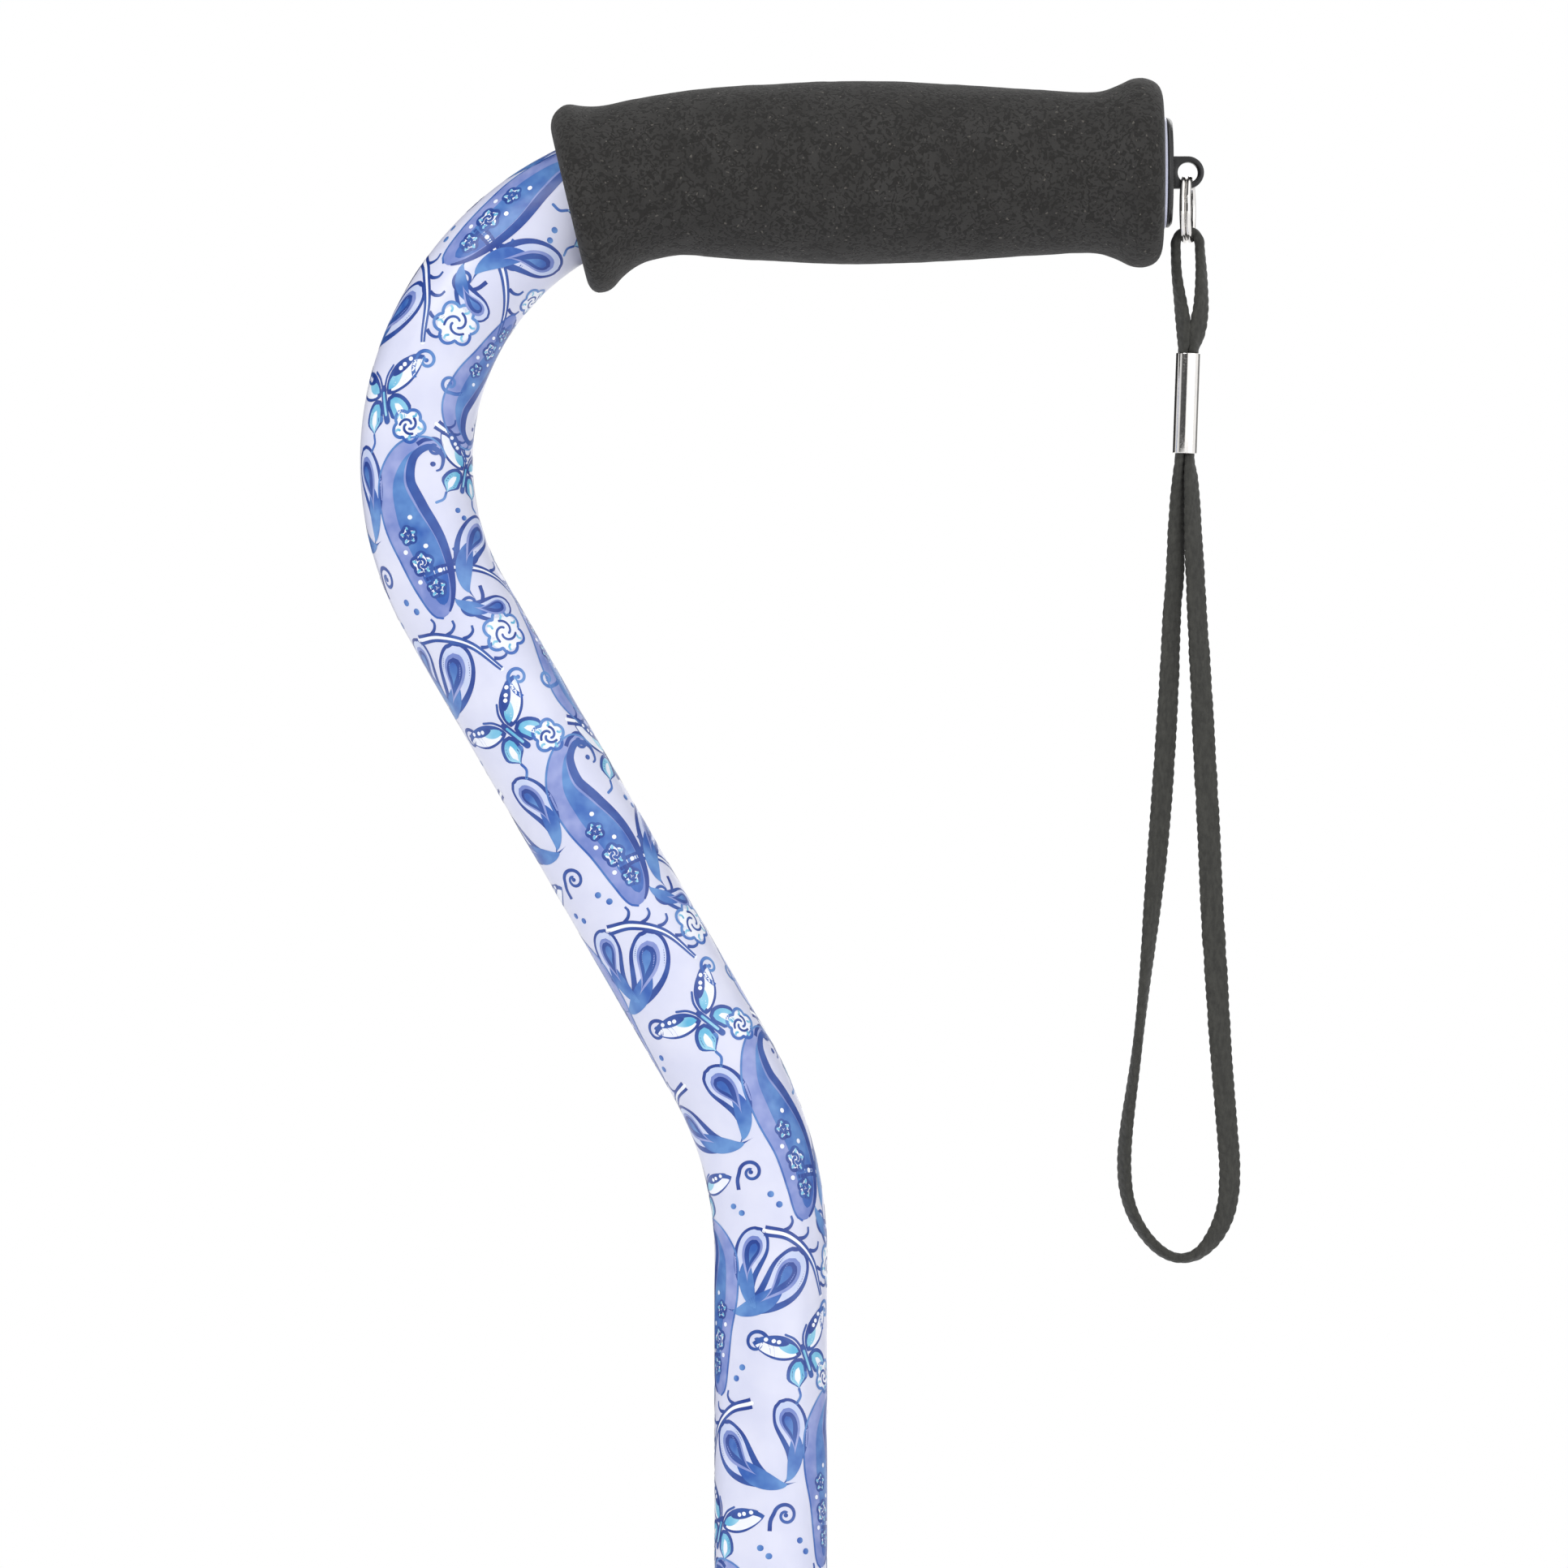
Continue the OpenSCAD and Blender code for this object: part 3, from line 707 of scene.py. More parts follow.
def butterfly(place):
    for side in (-1, 1):
        spine = [(0.7 * side, 0.2), (3.4 * side, -2.0), (8.2 * side, -5.2)]
        wing = part(spine, 0, 1)
        paint(place, wing, leaf(4.3), "dark", 1)
        paint(place, beside(part(spine, 0.1, 0.93), 0.35 * side), leaf(2.7), "white", 2)
        paint(place, beside(part(spine, 0.08, 0.5), -0.3 * side), leaf(1.7), "aqua", 3)
        lead = beside(part(spine, 0.3, 0.9), -1.0 * side)
        paint(place, lead, leaf(1.7), "dark", 4)
        for share in (0.35, 0.55, 0.75):
            x, y = lead[int(share * (len(lead) - 1))]
            dot(place, x, y, 0.36, "white", 5)
        tail = [(0.8 * side, 0.8), (2.6 * side, 2.8), (3.4 * side, 5.8)]
        paint(place, part(tail, 0, 1), drop(4.2, 0.6), "dark", 1)
        paint(place, part(tail, 0.12, 0.95), drop(2.9, 0.6), "aqua", 2)
        paint(place, part(tail, 0.3, 0.85), drop(1.2, 0.6), "white", 3)
        stroke(place, [(3.4 * side, 5.6), (3.6 * side, 6.9), (4.8 * side, 7.8)], 0.5, "mid", 1)
        stroke(place, [(0.2 * side, -0.8), (0.9 * side, -2.8), (2.2 * side, -4.2)], 0.42, "dark", 1)
    stroke(place, [(0, -0.9), (0, 1.6), (0, 4.4)], 1.15, "dark", 5)
    stroke(place, [(0, -0.2), (0, 1.6), (0, 3.4)], 0.45, "aqua", 6)


def curl(place, size=2.4, turns=1.35, tone="dark", stem=3.0):
    """Spiral with a dot at its eye and a stem."""
    angle = np.linspace(0, turns * TURN, 26)
    radius = size * (1 - 0.78 * angle / angle[-1])
    lead = [(size * 1.1, -stem), (size * 1.18, -stem * 0.45)]
    stroke(place, np.vstack([lead, polar(radius, angle)]), lambda t: 0.85 - 0.3 * t, tone, 2)
    dot(place, 0, 0, 0.42, tone, 2)


def vine(place, points, reach=1.0):
    """Two lines side by side, with hooked sprigs on one side."""
    middle_line = part(points, 0, 1)
    paint(place, middle_line, 1.0, "white", 1)
    for offset in (-0.75, 0.75):
        taper = np.linspace(1, 0.35, len(middle_line))
        paint(place, beside(middle_line, offset * taper), lambda t: 0.72 - 0.3 * t, "dark", 2)
    ahead = np.gradient(middle_line, axis=0)
    for share in np.arange(0.2, 0.95, 0.17):
        i = int(share * (len(middle_line) - 1))
        turn = math.degrees(math.atan2(ahead[i][1], ahead[i][0]))
        x, y = middle_line[i]
        sprig = stamp(x, y, turn, reach, inside=place)
        hook = [(0, -0.7), (1.1, -1.7), (1.5, -3.0), (0.9, -4.1)]
        stroke(sprig, hook, lambda t: 0.85 - 0.35 * t, "dark", 2)


def blossom(place, size=4.0, petals=6, tone="mid"):
    """Scalloped flower outline with curls inside."""
    stroke(place, [(-0.85 * size, 0), (0, 0), (0.85 * size, 0)], oval(1.7 * size), "white", 2)
    around = np.linspace(0, TURN, petals * 9, endpoint=False)
    scallop = size * (0.78 + 0.24 * np.abs(np.sin(petals * around / 2)))
    stroke(place, polar(scallop, around), 0.62, tone, 3, closed=True)
    for k in range(3):
        sweep = TURN * k / 3 + 0.35 + np.linspace(0, 2.3, 9)
        stroke(place, polar(size * np.linspace(0.55, 0.2, 9), sweep), 0.5, "dark", 4)
    for k in range(petals):
        vein = TURN * (k + 0.5) / petals + np.array([0, 0.12, 0.08])
        stroke(place, polar(size * np.array([0.62, 0.72, 0.84]), vein), 0.45, "aqua", 4)


def plume(place, wide=9.5):
    """Large feather shape that ends in a curl, with a dark edge and flowers inside."""
    spine = [
        (1, 17), (2.2, 11), (2.0, 4), (0, -3), (-1, -9), (1.2, -14.5), (5.4, -16.6), (8.6, -14.4),
        (8.2, -11.4), (6.2, -10.8),
    ]
    width = drop(wide, 0.33)

    def edge(start, end, share):
        """Line down the feather, at a share of its width to one side."""
        run = part(spine, start, end)
        return beside(run, share * width(np.linspace(start, end, len(run))))

    paint(place, part(spine, 0, 1), width, "haze", 1)
    paint(place, beside(part(spine, 0.05, 0.8), 0.9), drop(wide * 0.55, 0.35), "mid", 2)
    paint(place, edge(0.02, 0.98, 0.47), lambda t: 0.35 + 1.5 * np.sin(math.pi * t) ** 0.8, "dark", 3)
    paint(place, edge(0, 0.9, -0.48), 0.4, "mid", 3)
    for x, y, size in ((2.6, 11.5, 1.7), (1.6, 6.4, 2.1), (0.4, 0.8, 1.6)):
        blossom(stamp(x, y, 15 * y, 1.0, inside=place), size, 5, "dark")
    for x, y in ((4.4, 8.6), (0.0, 9.4), (3.2, 3.4), (-0.9, 3.6), (1.4, -2.4)):
        dot(place, x, y, 0.42, "white", 4)
    dot(place, 6.5, -12.3, 0.5, "dark", 4)


def band(u, v, flip):
    """Half a tile of the pattern, about half the way round the tube."""
    def at(x, y, turn=0.0, size=1.0, side=1):
        return stamp(u + x * flip, v + y, turn * flip, size, flip * side)

    plume(at(-8.5, 19, 2, 1.04), 9.8)
    butterfly(at(7, 8, 20, 1.15))
    vine(at(0, 0), [(-7.5, 28), (-2, 28.5), (4, 31.5), (9, 37), (12, 44)])
    paisley(at(8.5, 23, 62, 1.12, -1))
    curl(at(-2, 37, 20), 2.5, 1.3, "dark", 3.6)
    blossom(at(14.5, 31, 25), 3.8, 5)
    paisley(at(-11, 45, 30, 1.12))
    plume(at(9.5, 53, 186, 1.0, -1), 9.0)
    butterfly(at(-8, 62, -22, 1.12))
    vine(at(0, 0), [(-16, 38), (-11, 39.5), (-6, 44), (-3, 51)], 0.9)
    curl(at(-1, 54, 160), 2.2, 1.2, "mid", 3.2)
    blossom(at(1.5, 45, 10), 4.4)
    curl(at(-17, 26, 190), 2.4, 1.3, "dark", 3.6)
    curl(at(5, 57, 75), 1.9, 1.2, "mid", 3.0)
    curl(at(-1, 3, 240), 2.0, 1.2, "dark", 2.8)
    blossom(at(-1.5, 67, 40), 3.2, 5)
    paisley(at(-17, 6.5, -24, 0.95))
    vine(at(0, 0), [(4, 66), (8, 68.5), (12.5, 74)], 0.8)
    paisley(at(4, 40, 100, 0.72))
    dots = [
        (-14, 31), (-12.6, 33.2), (3.2, 17), (4.4, 19), (-14.5, 0), (-12.8, -1.6), (16, 38.5), (14.6, 40.6),
    ]
    for x, y in dots:
        dot(at(x, y), 0, 0, 0.62, "mid", 1)


def clear_of_holes(u, s):
    """Moves points to the bare rim of any height hole they are in, and tells which were moved."""
    hole_runs = [(TUBE_LENGTH - (z - FOOT_Z)) / MM for z in HOLES_Z]
    bare = HOLE_R / MM + HOLE_RIM
    moved = np.zeros(len(u), bool)
    for hole_s, hole_u in itertools.product(hole_runs, (ROUND / 4, 3 * ROUND / 4)):
        off_u, off_s = (u - hole_u + ROUND / 2) % ROUND - ROUND / 2, s - hole_s
        far = np.maximum(np.hypot(off_u, off_s), 1e-6)
        push = np.maximum(bare / far - 1, 0)
        moved |= push > 0
        u, s = u + off_u * push, s + off_s * push
    return u, s, moved


def wrapper():
    """Gives the function that bends flat points (u, s) round the tube. Higher layers lie further out."""
    table = np.arange(0, TUBE_LENGTH / MM + 1, 0.25)
    frames = [tube_line(s * MM) for s in table]
    centres, acrosses = (np.array([f[k] for f in frames]) for k in (0, 1))
    side = frames[0][2]

    def bent(u, s, layer):
        angle = math.pi - u / (TUBE_R / MM)
        centre, across = (
            np.column_stack([np.interp(s, table, source[:, k]) for k in range(3)])
            for source in (centres, acrosses)
        )
        lift = TUBE_R + (INK_GAP + INK_LAYER * layer) * MM
        out = np.cos(angle)[:, None] * across + np.sin(angle)[:, None] * side
        return centre + lift * out

    return bent


def print_piece(name, tone, verts, faces, shares):
    """A piece of the print, with the points that no face uses left out."""
    used, faces = np.unique(faces, return_inverse=True)
    mesh = bpy.data.meshes.new("print")
    mesh.from_pydata(verts[used].tolist(), [], faces.reshape(-1, 4).tolist())
    values = mesh.attributes.new("shade", "FLOAT", "POINT")
    values.data.foreach_set("value", shares[used].astype(np.float32))
    mesh.shade_smooth()
    mesh.materials.append(INKS[tone])
    obj = added(name, mesh)
    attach(obj, "handle")


def lay_ink():
    """Repeats the tile down the tube and bends it round the surface. It stops at the foam and the collar, and
    its edge follows the rim of each height hole."""
    bent = wrapper()
    tiles = range(int((PRINT_END - PRINT_START) / TILE) + 2)
    halves = ("upper", tiles[:len(tiles) // 2]), ("lower", tiles[len(tiles) // 2:])
    for (tone, strokes), (half, some_tiles) in itertools.product(drawn.items(), halves):
        verts, faces, shares, base = [], [], [], 0
        for tile, (flat, share, layer, (rows, columns)) in itertools.product(some_tiles, strokes):
            s = flat[:, 1] + TILE_START + tile * TILE
            if s.max() < PRINT_START or s.min() > PRINT_END:
                continue
            u, s, moved = clear_of_holes(flat[:, 0] + (TILE_SHIFT * tile) % ROUND, s)
            index = np.arange(rows * columns).reshape(rows, columns)
            quads = np.stack([index[:-1, :-1], index[1:, :-1], index[1:, 1:], index[:-1, 1:]], -1)
            quads = quads.reshape(-1, 4)
            mid_s = s[quads].mean(1)
            keep = (mid_s > PRINT_START) & (mid_s < PRINT_END) & ~moved[quads].all(1)
            if not keep.any():
                continue
            verts.append(bent(u, s, layer))
            faces.append(quads[keep] + base)
            shares.append(share)
            base += len(flat)
        gathered = (np.concatenate(kind) for kind in (verts, faces, shares))
        print_piece(f"print_{tone}_{half}", tone, *gathered)


band(ROUND / 4, 0, 1)
band(3 * ROUND / 4, TILE / 2, -1)
lay_ink()


# ---- Foam grip ----

REAR_TILT = math.radians(13.5)
FOAM_SIDES = 176
# Radius of the foam at distances from the tube's end, in millimetres; the last stretch is in the bend
FOAM_OUTLINE = [
    (0.6, 13.6), (0.75, 15.4), (1.3, 16.9), (2.4, 18.0), (4.0, 18.6), (5.4, 18.68), (7.0, 18.4), (9.5, 17.2),
    (12.5, 16.15), (15.5, 15.85), (20, 15.95), (28.5, 16.5), (41, 17.35), (54, 17.95), (66, 18.0),
    (78, 17.45), (88, 16.8), (97, 16.0), (103.5, 15.85), (107, 16.0), (109.5, 16.5), (112, 17.5),
    (113.8, 18.5), (115.3, 18.85), (117.2, 18.3), (118.3, 17.2), (118.85, 15.7), (118.9, 14.5),
]


def foam_line(at):
    """Centreline of the foam. Its rings follow the bend only as far as its rear face leans."""
    centre, _, side = tube_line(at)
    heading = min(max(at - GRIP_RUN, 0) / UPPER_BEND_R, REAR_TILT)
    return centre, math.sin(heading) * X - math.cos(heading) * Z, side


def foam_grip():
    """The grip's skin is a little uneven; its bore is smooth."""
    skin = [tuple(p) for p in smooth_line(FOAM_OUTLINE, 0.8) * MM]
    bore = [(at, TUBE_R) for at in np.linspace(skin[-1][0], skin[0][0], 30)]
    verts, faces = turned(skin + bore, foam_line, sides=FOAM_SIDES)
    for i, (at, _) in enumerate(skin):
        centre = foam_line(at)[0]
        for k in range(i * FOAM_SIDES, (i + 1) * FOAM_SIDES):
            spot, out = Vector(verts[k]), verts[k] - centre
            rough = 0.07 * noise.noise(spot / (2.6 * MM)) + 0.1 * noise.noise(spot / (9 * MM))
            verts[k] += out / np.linalg.norm(out) * rough * MM
    return verts, faces


foam = piece("grip_foam", foam_grip(), "handle", "foam", ["foam_grip"], crease=50)


# ---- End plug and split ring ----

LUG = GRIP + (82.3 * MM, 0, 0)
LUG_R = 3.2
LUG_BACK = 3.25


def eye_shape(angles, at, radius):
    """The eye is round outside, but runs straight into the plug's disc."""
    if radius < 2.6 * MM:
        return radius
    sine, cosine = np.maximum(np.abs(np.sin(angles)), 1e-6), np.cos(angles)
    straight = np.minimum(LUG_R / sine, LUG_BACK / np.maximum(-cosine, 1e-6))
    return np.where(cosine >= 0, LUG_R, straight) * MM - (LUG_R * MM - radius)


DISC_OUTLINE = [
    (-16, 0), (-16, 9.55), (0, 9.55), (0, 10.85), (0.55, 10.85), (1.2, 10.1), (1.2, 7.2), (0.95, 6.8),
    (0.95, 0),
]
disc = turned(soften(DISC_OUTLINE, 0.25), line(GRIP + (TUBE_END_X, 0, 0), X, Y), sides=128)
eye = turned(soften(ring_outline(-1.6, 1.6, 2.0, LUG_R), 0.55, 5), line(LUG, Y), shape=eye_shape)
piece("plug_disc", join(disc, eye), "handle", "black_plastic", ["end_plug"])

RING = middle("split_ring")
RING_R = 6.2 * MM
WIRE_R = 0.55 * MM
WIRE_STEP = 1.16 * MM
# The wire winds nearly twice round, and steps over to its second turn on the way
ring_turn = np.linspace(0, 1.96, 260)
step_over = np.clip((ring_turn - 0.9) / 0.16, 0, 1)
step_over = (step_over**2 * (3 - 2 * step_over) - 0.5) * WIRE_STEP
ring_angle = ring_turn * TURN + math.radians(60)
ring_lean = math.radians(7)
ring_points = RING + np.column_stack([
    step_over * math.cos(ring_lean) + RING_R * np.cos(ring_angle) * math.sin(ring_lean),
    RING_R * np.cos(ring_angle) * math.cos(ring_lean) - step_over * math.sin(ring_lean),
    RING_R * np.sin(ring_angle),
])
piece("ring_wire", wire(ring_points, WIRE_R), "ring", "ring_steel", ["split_ring"])


# ---- Clamp ----

COLLAR = np.array([*SHAFT[:2], FOOT_Z])
THREAD_PITCH = 2.0


def thread(core, crest, low, high, pitch=THREAD_PITCH):
    """Radius of a screw thread between two heights, in millimetres, and of plain rows elsewhere."""
    def shape(angles, at, radius):
        height = at / MM
        if not low <= height <= high or radius < core * MM - 0.01 * MM:
            return radius
        phase = (height / pitch - angles / TURN) % 1
        ridge = np.clip(1.6 - 4 * np.abs(phase - 0.5), 0, 1)
        fade = min(1, (height - low) / pitch, (high - height) / pitch)
        return (core + (crest - core) * ridge * fade) * MM
    return shape


bushing_rows = [(-5, 9.65), (-5, 12.4), (-4.6, 12.6)]
bushing_rows += [(h, 12.6) for h in np.arange(-4.4, 15.8, 0.2)]
bushing_rows += [
    (15.9, 12.7), (16, 14.0), (16.3, 14.2), (19.7, 14.2), (20.1, 14.1), (22.3, 11.8), (22.5, 11.5),
    (22.5, 11.12), (0, 11.12), (0, 9.65),
]
bushing = turned(in_metres(bushing_rows), line(COLLAR, Z), shape=thread(12.6, 13.05, -4.4, 15.6))
piece("clamp_bushing", bushing, "handle", "black_plastic", ["collar_bushing"])


def knurl(angles, at, radius):
    """Twenty round grooves down the lock ring's outside."""
    if radius < 14.2 * MM:
        return radius
    across = 17.1 * MM
    groove = 1.7 * MM
    off = (angles + math.pi / 20) % (TURN / 20) - math.pi / 20
    inside = np.maximum(groove**2 - (across * np.sin(off)) ** 2, 0)
    near = np.where(inside > 0, across * np.cos(off) - np.sqrt(inside), 1)
    return np.minimum(radius, near)


LOCK_OUTLINE = [
    (-16, 9.9), (-16, 14.7), (-14, 16.2), (11, 16.2), (13, 15.2), (13, 13.2), (-5.4, 13.2), (-5.4, 12.4),
    (-13.4, 11.1), (-13.4, 9.9),
]
lock = turned(soften(LOCK_OUTLINE, 0.7), line(COLLAR, Z), sides=400, shape=knurl)
piece("clamp_lock_ring", lock, "lock", "black_plastic", ["lock_ring"])


# ---- Post ----

post_lo, post_hi = corners("post_tube")
post_tall = (post_hi[2] - post_lo[2]) / MM
post_rows = soften(ring_outline(0, post_tall, 8.3, POST_R / MM), 0.3)
post_line = line((*SHAFT[:2], post_lo[2]), Z)
post = piece("post_body", turned(post_rows, post_line, sides=128), "base", "post_metal", ["post_tube"])
drilled(post, [(np.array([SHAFT[0], SHAFT[1] - POST_R, BUTTON_Z]), HOLE_R, 4 * MM)])

button_rows = [(5.3, 0), (5.3, 4.8), (5.5, 5), (6.1, 5), (6.3, 4.8), (6.3, 3.9), (12.0, 3.9)]
dome = np.radians([15, 30, 45, 60, 75])
button_rows += [(12.0 + 1.6 * math.sin(a), 3.9 - 1.9 * (1 - math.cos(a))) for a in dome]
button_rows += [(13.6, 2.0), (13.6, 0)]
button = turned(in_metres(button_rows), line((*SHAFT[:2], BUTTON_Z), -Y), sides=64)
piece("post_button", button, "button", "ring_steel", ["snap_button"])


# ---- Base ----

socket_lo, socket_hi = corners("base_socket")
SOCKET_R = 14.3 * MM
socket_line = line((*SHAFT[:2], socket_lo[2]), Z)
socket_tall = (socket_hi[2] - socket_lo[2]) / MM
socket = soften(ring_outline(0, socket_tall, 9.65, SOCKET_R / MM), 0.6)
piece("base_socket_body", turned(socket, socket_line, sides=128), "base", "base_paint", ["base_socket"])
plug = soften([(-3, 0), (-3, 12.8), (0, 14.3), (0, 9.5), (7, 9.5), (7, 0)], 0.5)
piece("base_socket_plug", turned(plug, socket_line), "base", "black_plastic", ["socket_plug"])

BOLT = np.array([*SHAFT[:2], middle("cross_bolt")[2]])
HEX_FLAT = 11.5 / 2 * math.cos(math.pi / 6)


def hexagon(angles, at, radius):
    """Rows wider than the shank are cut to six flats."""
    if radius < 4.2 * MM:
        return radius
    off = (angles + math.pi / 6) % (math.pi / 3) - math.pi / 6
    return np.minimum(radius, HEX_FLAT * MM / np.cos(off))


def bolt_shape(angles, at, radius):
    if radius < 4.2 * MM:
        return thread(2.7, 3.0, 16, 22.2, 1.0)(angles, at, radius)
    return hexagon(angles, at, radius)


bolt_rows = [
    (-19.1, 0), (-19.1, 4.6), (-19.05, 5.0), (-18.6, 5.75), (-15.8, 5.75), (-15.5, 5.4), (-15.5, 3.0),
    (15.9, 3.0),
]
bolt_rows += [(h, 2.7) for h in np.arange(16, 22.3, 0.125)]
bolt_rows += [(22.5, 2.3), (22.5, 0)]
nut_rows = [
    (15.5, 3.05), (15.5, 5.3), (15.8, 5.75), (19.5, 5.75), (20.0, 5.0), (20.0, 4.65), (21.2, 4.1),
    (21.5, 3.8), (21.5, 3.05),
]
bolt_line = line(BOLT, Y, Z)
bolt = turned(in_metres(bolt_rows), bolt_line, shape=bolt_shape)
piece("bolt_body", bolt, "base", "zinc_steel", ["cross_bolt"])
nut = turned(in_metres(nut_rows), bolt_line, shape=hexagon)
piece("bolt_nut", nut, "base", "zinc_steel", ["lock_nut"])
washers = [
    turned(soften(ring_outline(at, at + 1.2, 3.1, 6.2), 0.2), bolt_line, sides=72) for at in (-15.5, 14.3)
]
piece("bolt_washer_pair", join(*washers), "base", "zinc_steel", ["bolt_washers"])

LEG_R = 7.95 * MM
LEG_WALL = 1.5 * MM
LEG_TOP = np.array([*SHAFT[:2], 88 * MM])
LEG_START = 12 * MM  # inside the socket's wall
LEG_SLOPE = math.radians(12)
LEG_BEND_R = 36 * MM
LEG_FOOT_Z = 8.6 * MM
BEAD_R = 1.25
BEAD_SWELL = 0.16
BEAD_RIPPLES = 34
TIP_OUTLINE = [
    (0, 0), (0, 3), (1, 3), (1, 4.5), (0, 4.5), (0, 8), (1, 8), (1, 9.5), (0, 9.5), (0, 13.7), (0.8, 14.5),
    (3.2, 14.5), (7, 12.9), (13, 12.5), (13.6, 11.55), (17.4, 11.55), (18, 12.25), (19.6, 12.25),
    (20.2, 11.35), (24, 11.15), (24.6, 11.75), (30, 11.75), (31, 10.75), (31, 8.0), (7.2, 8.0), (7.2, 0),
]


def ribbed(angles, at, radius):
    """Fine upright ribs round the tip's waist."""
    if radius < 10.9 * MM or not 20.4 * MM < at < 24.2 * MM:
        return radius
    return radius + 0.22 * MM * np.clip(np.cos(28 * angles), -0.4, 1)


for depth in ("inner", "outer"):
    for end in ("front", "rear"):
        where = f"{depth}_{end}"
        tip_centre = middle("tip_" + where) * (1, 1, 0)
        aim = tip_centre - LEG_TOP * (1, 1, 0)
        reach = np.linalg.norm(aim)
        aim = aim / reach
        run = (reach - LEG_BEND_R * (1 - math.sin(LEG_SLOPE))) / math.cos(LEG_SLOPE)
        bend_z = LEG_TOP[2] - run * math.sin(LEG_SLOPE) - LEG_BEND_R * math.cos(LEG_SLOPE)
        arc = LEG_BEND_R * (math.pi / 2 - LEG_SLOPE)
        total = run + arc + bend_z - LEG_FOOT_Z
        forward = math.cos(LEG_SLOPE) * aim - math.sin(LEG_SLOPE) * Z
        down = -math.sin(LEG_SLOPE) * aim - math.cos(LEG_SLOPE) * Z
        leg_line = route(LEG_TOP, forward, down, [(run, 0), (arc, LEG_BEND_R), (1, 0)])
        stations = [LEG_START, *np.linspace(run, run + arc, 40), total - CUT_EDGE]
        leg_rows = [(s, LEG_R) for s in stations]
        leg_rows += [(total, LEG_R - CUT_EDGE), (total, LEG_R - LEG_WALL)]
        leg_rows += [(s, LEG_R - LEG_WALL) for s in reversed(stations)]
        leg = turned(leg_rows, leg_line)
        piece("leg_body_" + where, leg, "base", "base_paint", ["leg_" + where])

        lateral = np.cross(Z, aim)
        seam = []
        for angle in np.linspace(0, TURN, 97):
            sideways, upward = LEG_R * math.cos(angle), LEG_R * math.sin(angle)
            ahead = math.sqrt(SOCKET_R**2 - sideways**2) - upward * math.sin(LEG_SLOPE)
            seam.append(LEG_TOP + ahead / math.cos(LEG_SLOPE) * forward + sideways * lateral - upward * down)
        beads = (BEAD_R + BEAD_SWELL * np.sin(np.linspace(0, BEAD_RIPPLES * TURN, 97 * 4))) * MM
        seam = smooth_line(seam, 0.13 * MM)
        beads = np.interp(np.linspace(0, 1, len(seam)), np.linspace(0, 1, len(beads)), beads)
        piece("weld_" + where, wire(seam, beads, 14), "base", "base_paint", crease=70)

        tip_rows = closer(soften(TIP_OUTLINE, 0.45, 3), 0.5 * MM)
        tip = turned(tip_rows, line(tip_centre, Z), sides=168, shape=ribbed)
        piece("tip_body_" + where, tip, "base", "tip_rubber", ["tip_" + where])


# ---- Carried-over CAD nodes, inside the clamp, the post and the tips ----

CARRIED = {
    "wedge_sleeve": "nylon",
    "post_guide": "nylon",
    "button_spring": "spring_steel",
    "tip_washers": "zinc_steel",
}
for node, slot in CARRIED.items():
    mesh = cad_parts[node].data
    mesh.materials.clear()
    mesh.materials.append(LOOKS[slot])
    shade(mesh)


# ---- Floor, light and background ----

def floor_look(near, far):
    """Pale floor that runs into the white of the background between two distances from the middle."""
    material = look("floor", (240, 240, 241), (236, 236, 238), 0.6, patch=2, grain=60, bump=0.02)
    n = Nodes(material)
    away = n.add("ShaderNodeVectorMath", operation="LENGTH")
    n.link(n.place, away.inputs[0])
    fade = n.ranged(away.outputs["Value"], near, far, 0, 1, blend="SMOOTHSTEP")
    surface = n.tree.nodes["Principled BSDF"].outputs["BSDF"]
    white = n.add("ShaderNodeEmission").outputs["Emission"]
    n.link(n.either(fade, surface, white), n.tree.nodes["Material Output"].inputs["Surface"])
    return material


FLOOR_R = 6.0
rim = np.linspace(0, TURN, 97)[:-1]
floor_mesh = bpy.data.meshes.new("floor")
floor_mesh.from_pydata(
    [(FLOOR_R * math.cos(a), FLOOR_R * math.sin(a), -0.5 * MM) for a in rim], [], [tuple(range(len(rim)))]
)
floor = added("floor", floor_mesh)
floor_mesh.materials.append(floor_look(0.9, 3.5))


def area_light(name, spot, aim, size, power):
    lamp = bpy.data.lights.new(name, "AREA")
    lamp.size = size
    lamp.energy = power
    obj = added(name, lamp)
    obj.location = spot
    obj.rotation_euler = (Vector(aim) - Vector(spot)).to_track_quat("-Z", "Y").to_euler()
    obj.visible_camera = False


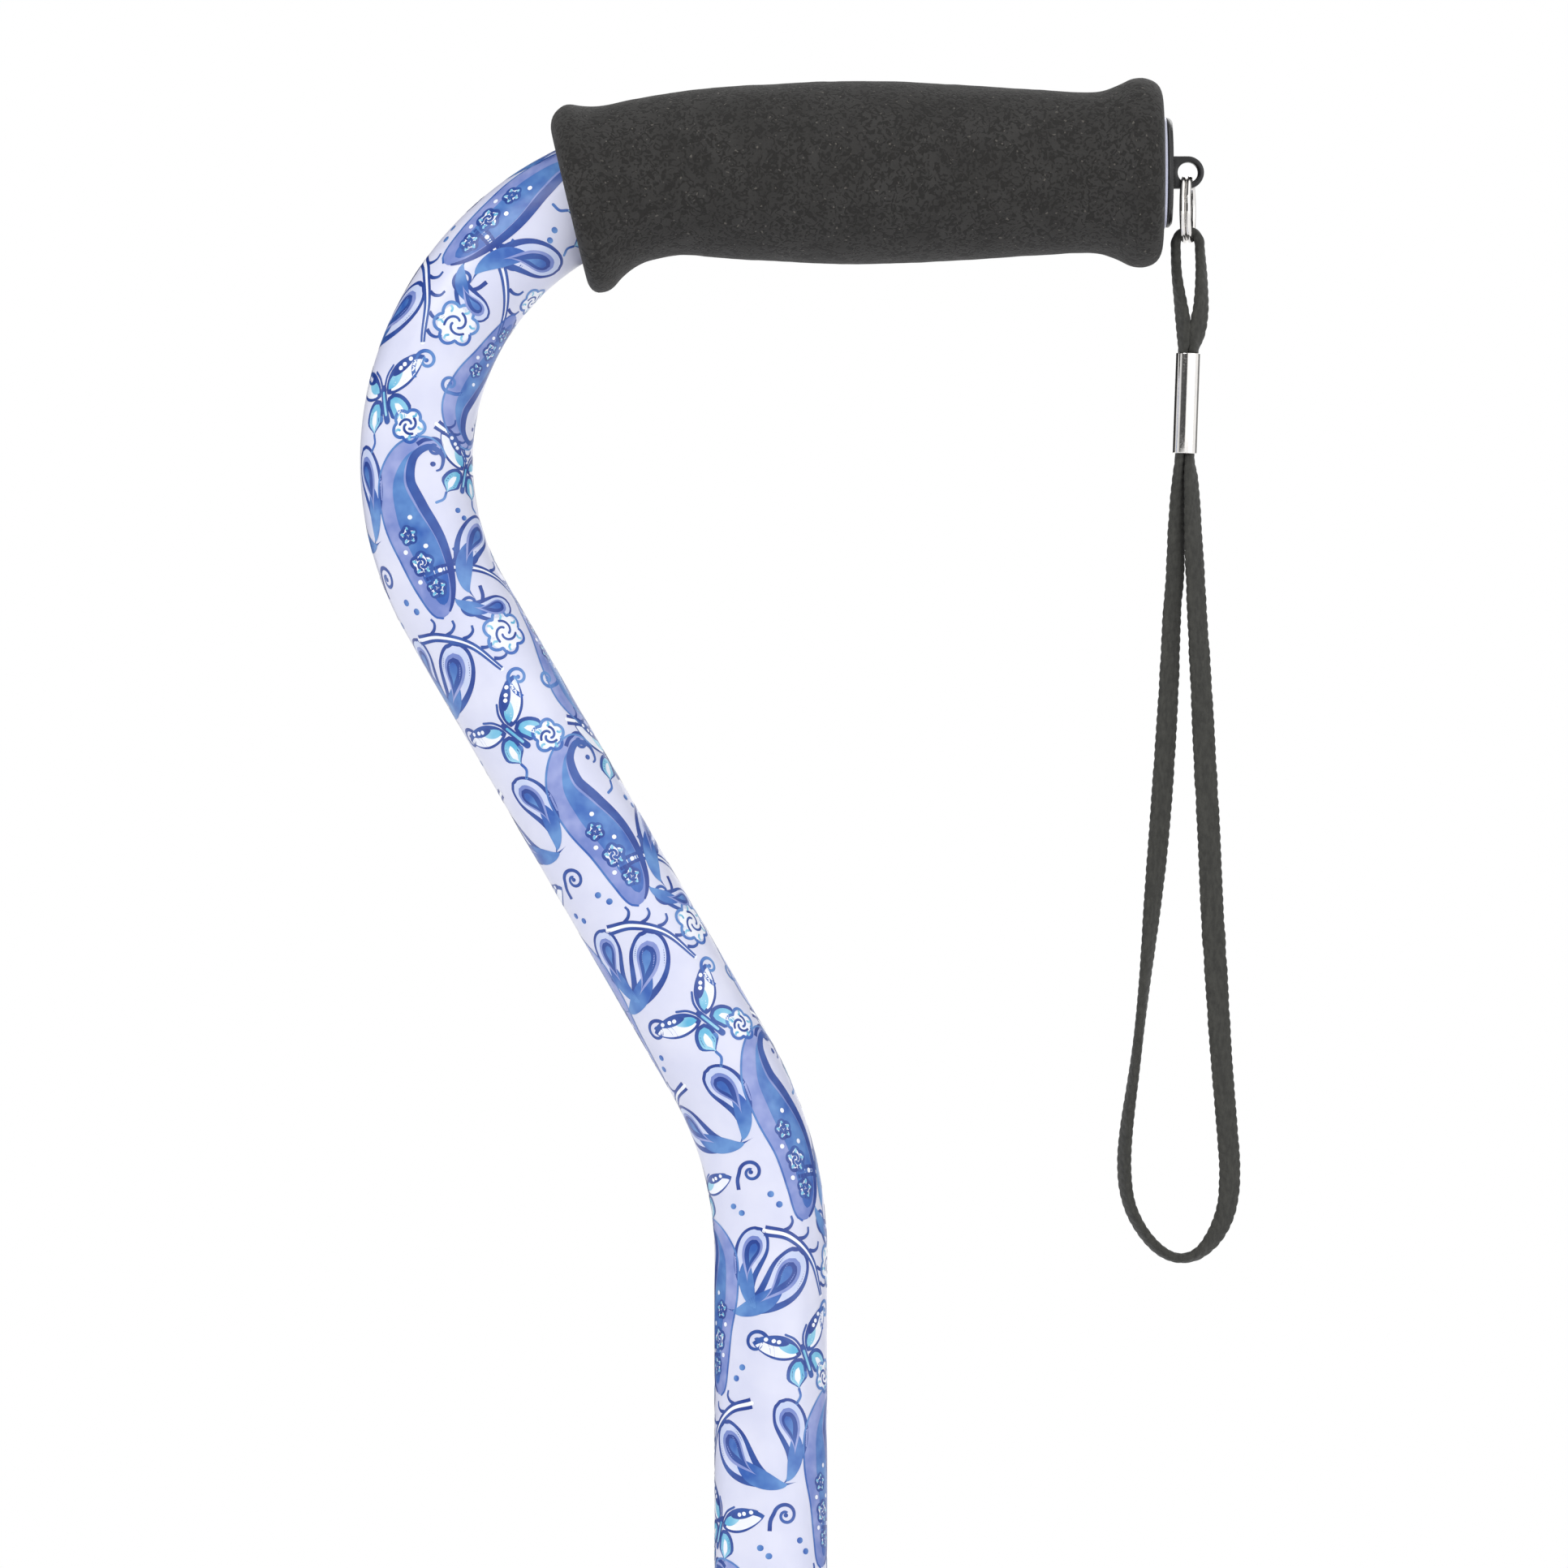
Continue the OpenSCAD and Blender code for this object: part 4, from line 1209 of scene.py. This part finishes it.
area_light("key", (-1.6, -2.2, 2.6), (0, 0, 0.7), 1.6, 34)
area_light("fill", (2.2, -1.8, 1.2), (0, 0, 0.6), 2.0, 12)
area_light("back", (0.6, 2.4, 2.2), (0, 0, 0.6), 1.6, 14)


def sky(n, axis, stops):
    """Grey that varies with one part of the direction looked in, from -1 to 1."""
    split = n.add("ShaderNodeSeparateXYZ")
    n.link(n.place, split.inputs["Vector"])
    ramp = n.add("ShaderNodeValToRGB")
    stop = ramp.color_ramp.elements
    while len(stop) < len(stops):
        stop.new(0.5)
    for element, (position, value) in zip(stop, stops):
        element.position = (position + 1) / 2
        element.color = (value, value, value, 1)
    n.link(n.ranged(split.outputs[axis], -1, 1, 0, 1), ramp.inputs["Fac"])
    return ramp.outputs["Color"]


def backdrop(n, strength, colour=None):
    node = n.add("ShaderNodeBackground")
    node.inputs["Strength"].default_value = strength
    node.inputs["Color"].default_value = (1, 1, 1, 1)
    if colour:
        n.link(colour, node.inputs["Color"])
    return node.outputs["Background"]


world = bpy.data.worlds.new("world")
bpy.context.scene.world = world
world.use_nodes = True
world.node_tree.nodes.clear()
air = Nodes(world, "Generated")
ray = air.add("ShaderNodeLightPath").outputs
studio = sky(air, "Z", [(-1, 0.5), (-0.16, 0.75), (0, 1), (0.24, 1), (0.6, 0.85), (1, 1)])
# What shiny pieces mirror: a bright studio with a dark screen at its left and another far behind
screen_stops = [(-1, 0.6), (-0.92, 0.7), (-0.84, 0.08), (-0.16, 0.05), (-0.03, 1), (0.6, 1), (1, 0.8)]
screen = sky(air, "X", screen_stops)
far_screen = sky(air, "Y", [(0.3, 1), (0.42, 0.2), (0.8, 0.2), (0.92, 1)])
both = air.add("ShaderNodeVectorMath", operation="MULTIPLY")
air.link(screen, both.inputs[0])
air.link(far_screen, both.inputs[1])
mirrored = backdrop(air, 1.15, both.outputs["Vector"])
lit = air.either(ray["Is Glossy Ray"], backdrop(air, 0.82, studio), mirrored)
seen = air.either(ray["Is Camera Ray"], lit, backdrop(air, 1.0))
air.link(seen, air.add("ShaderNodeOutputWorld").inputs["Surface"])
bpy.context.scene.view_settings.view_transform = "Standard"
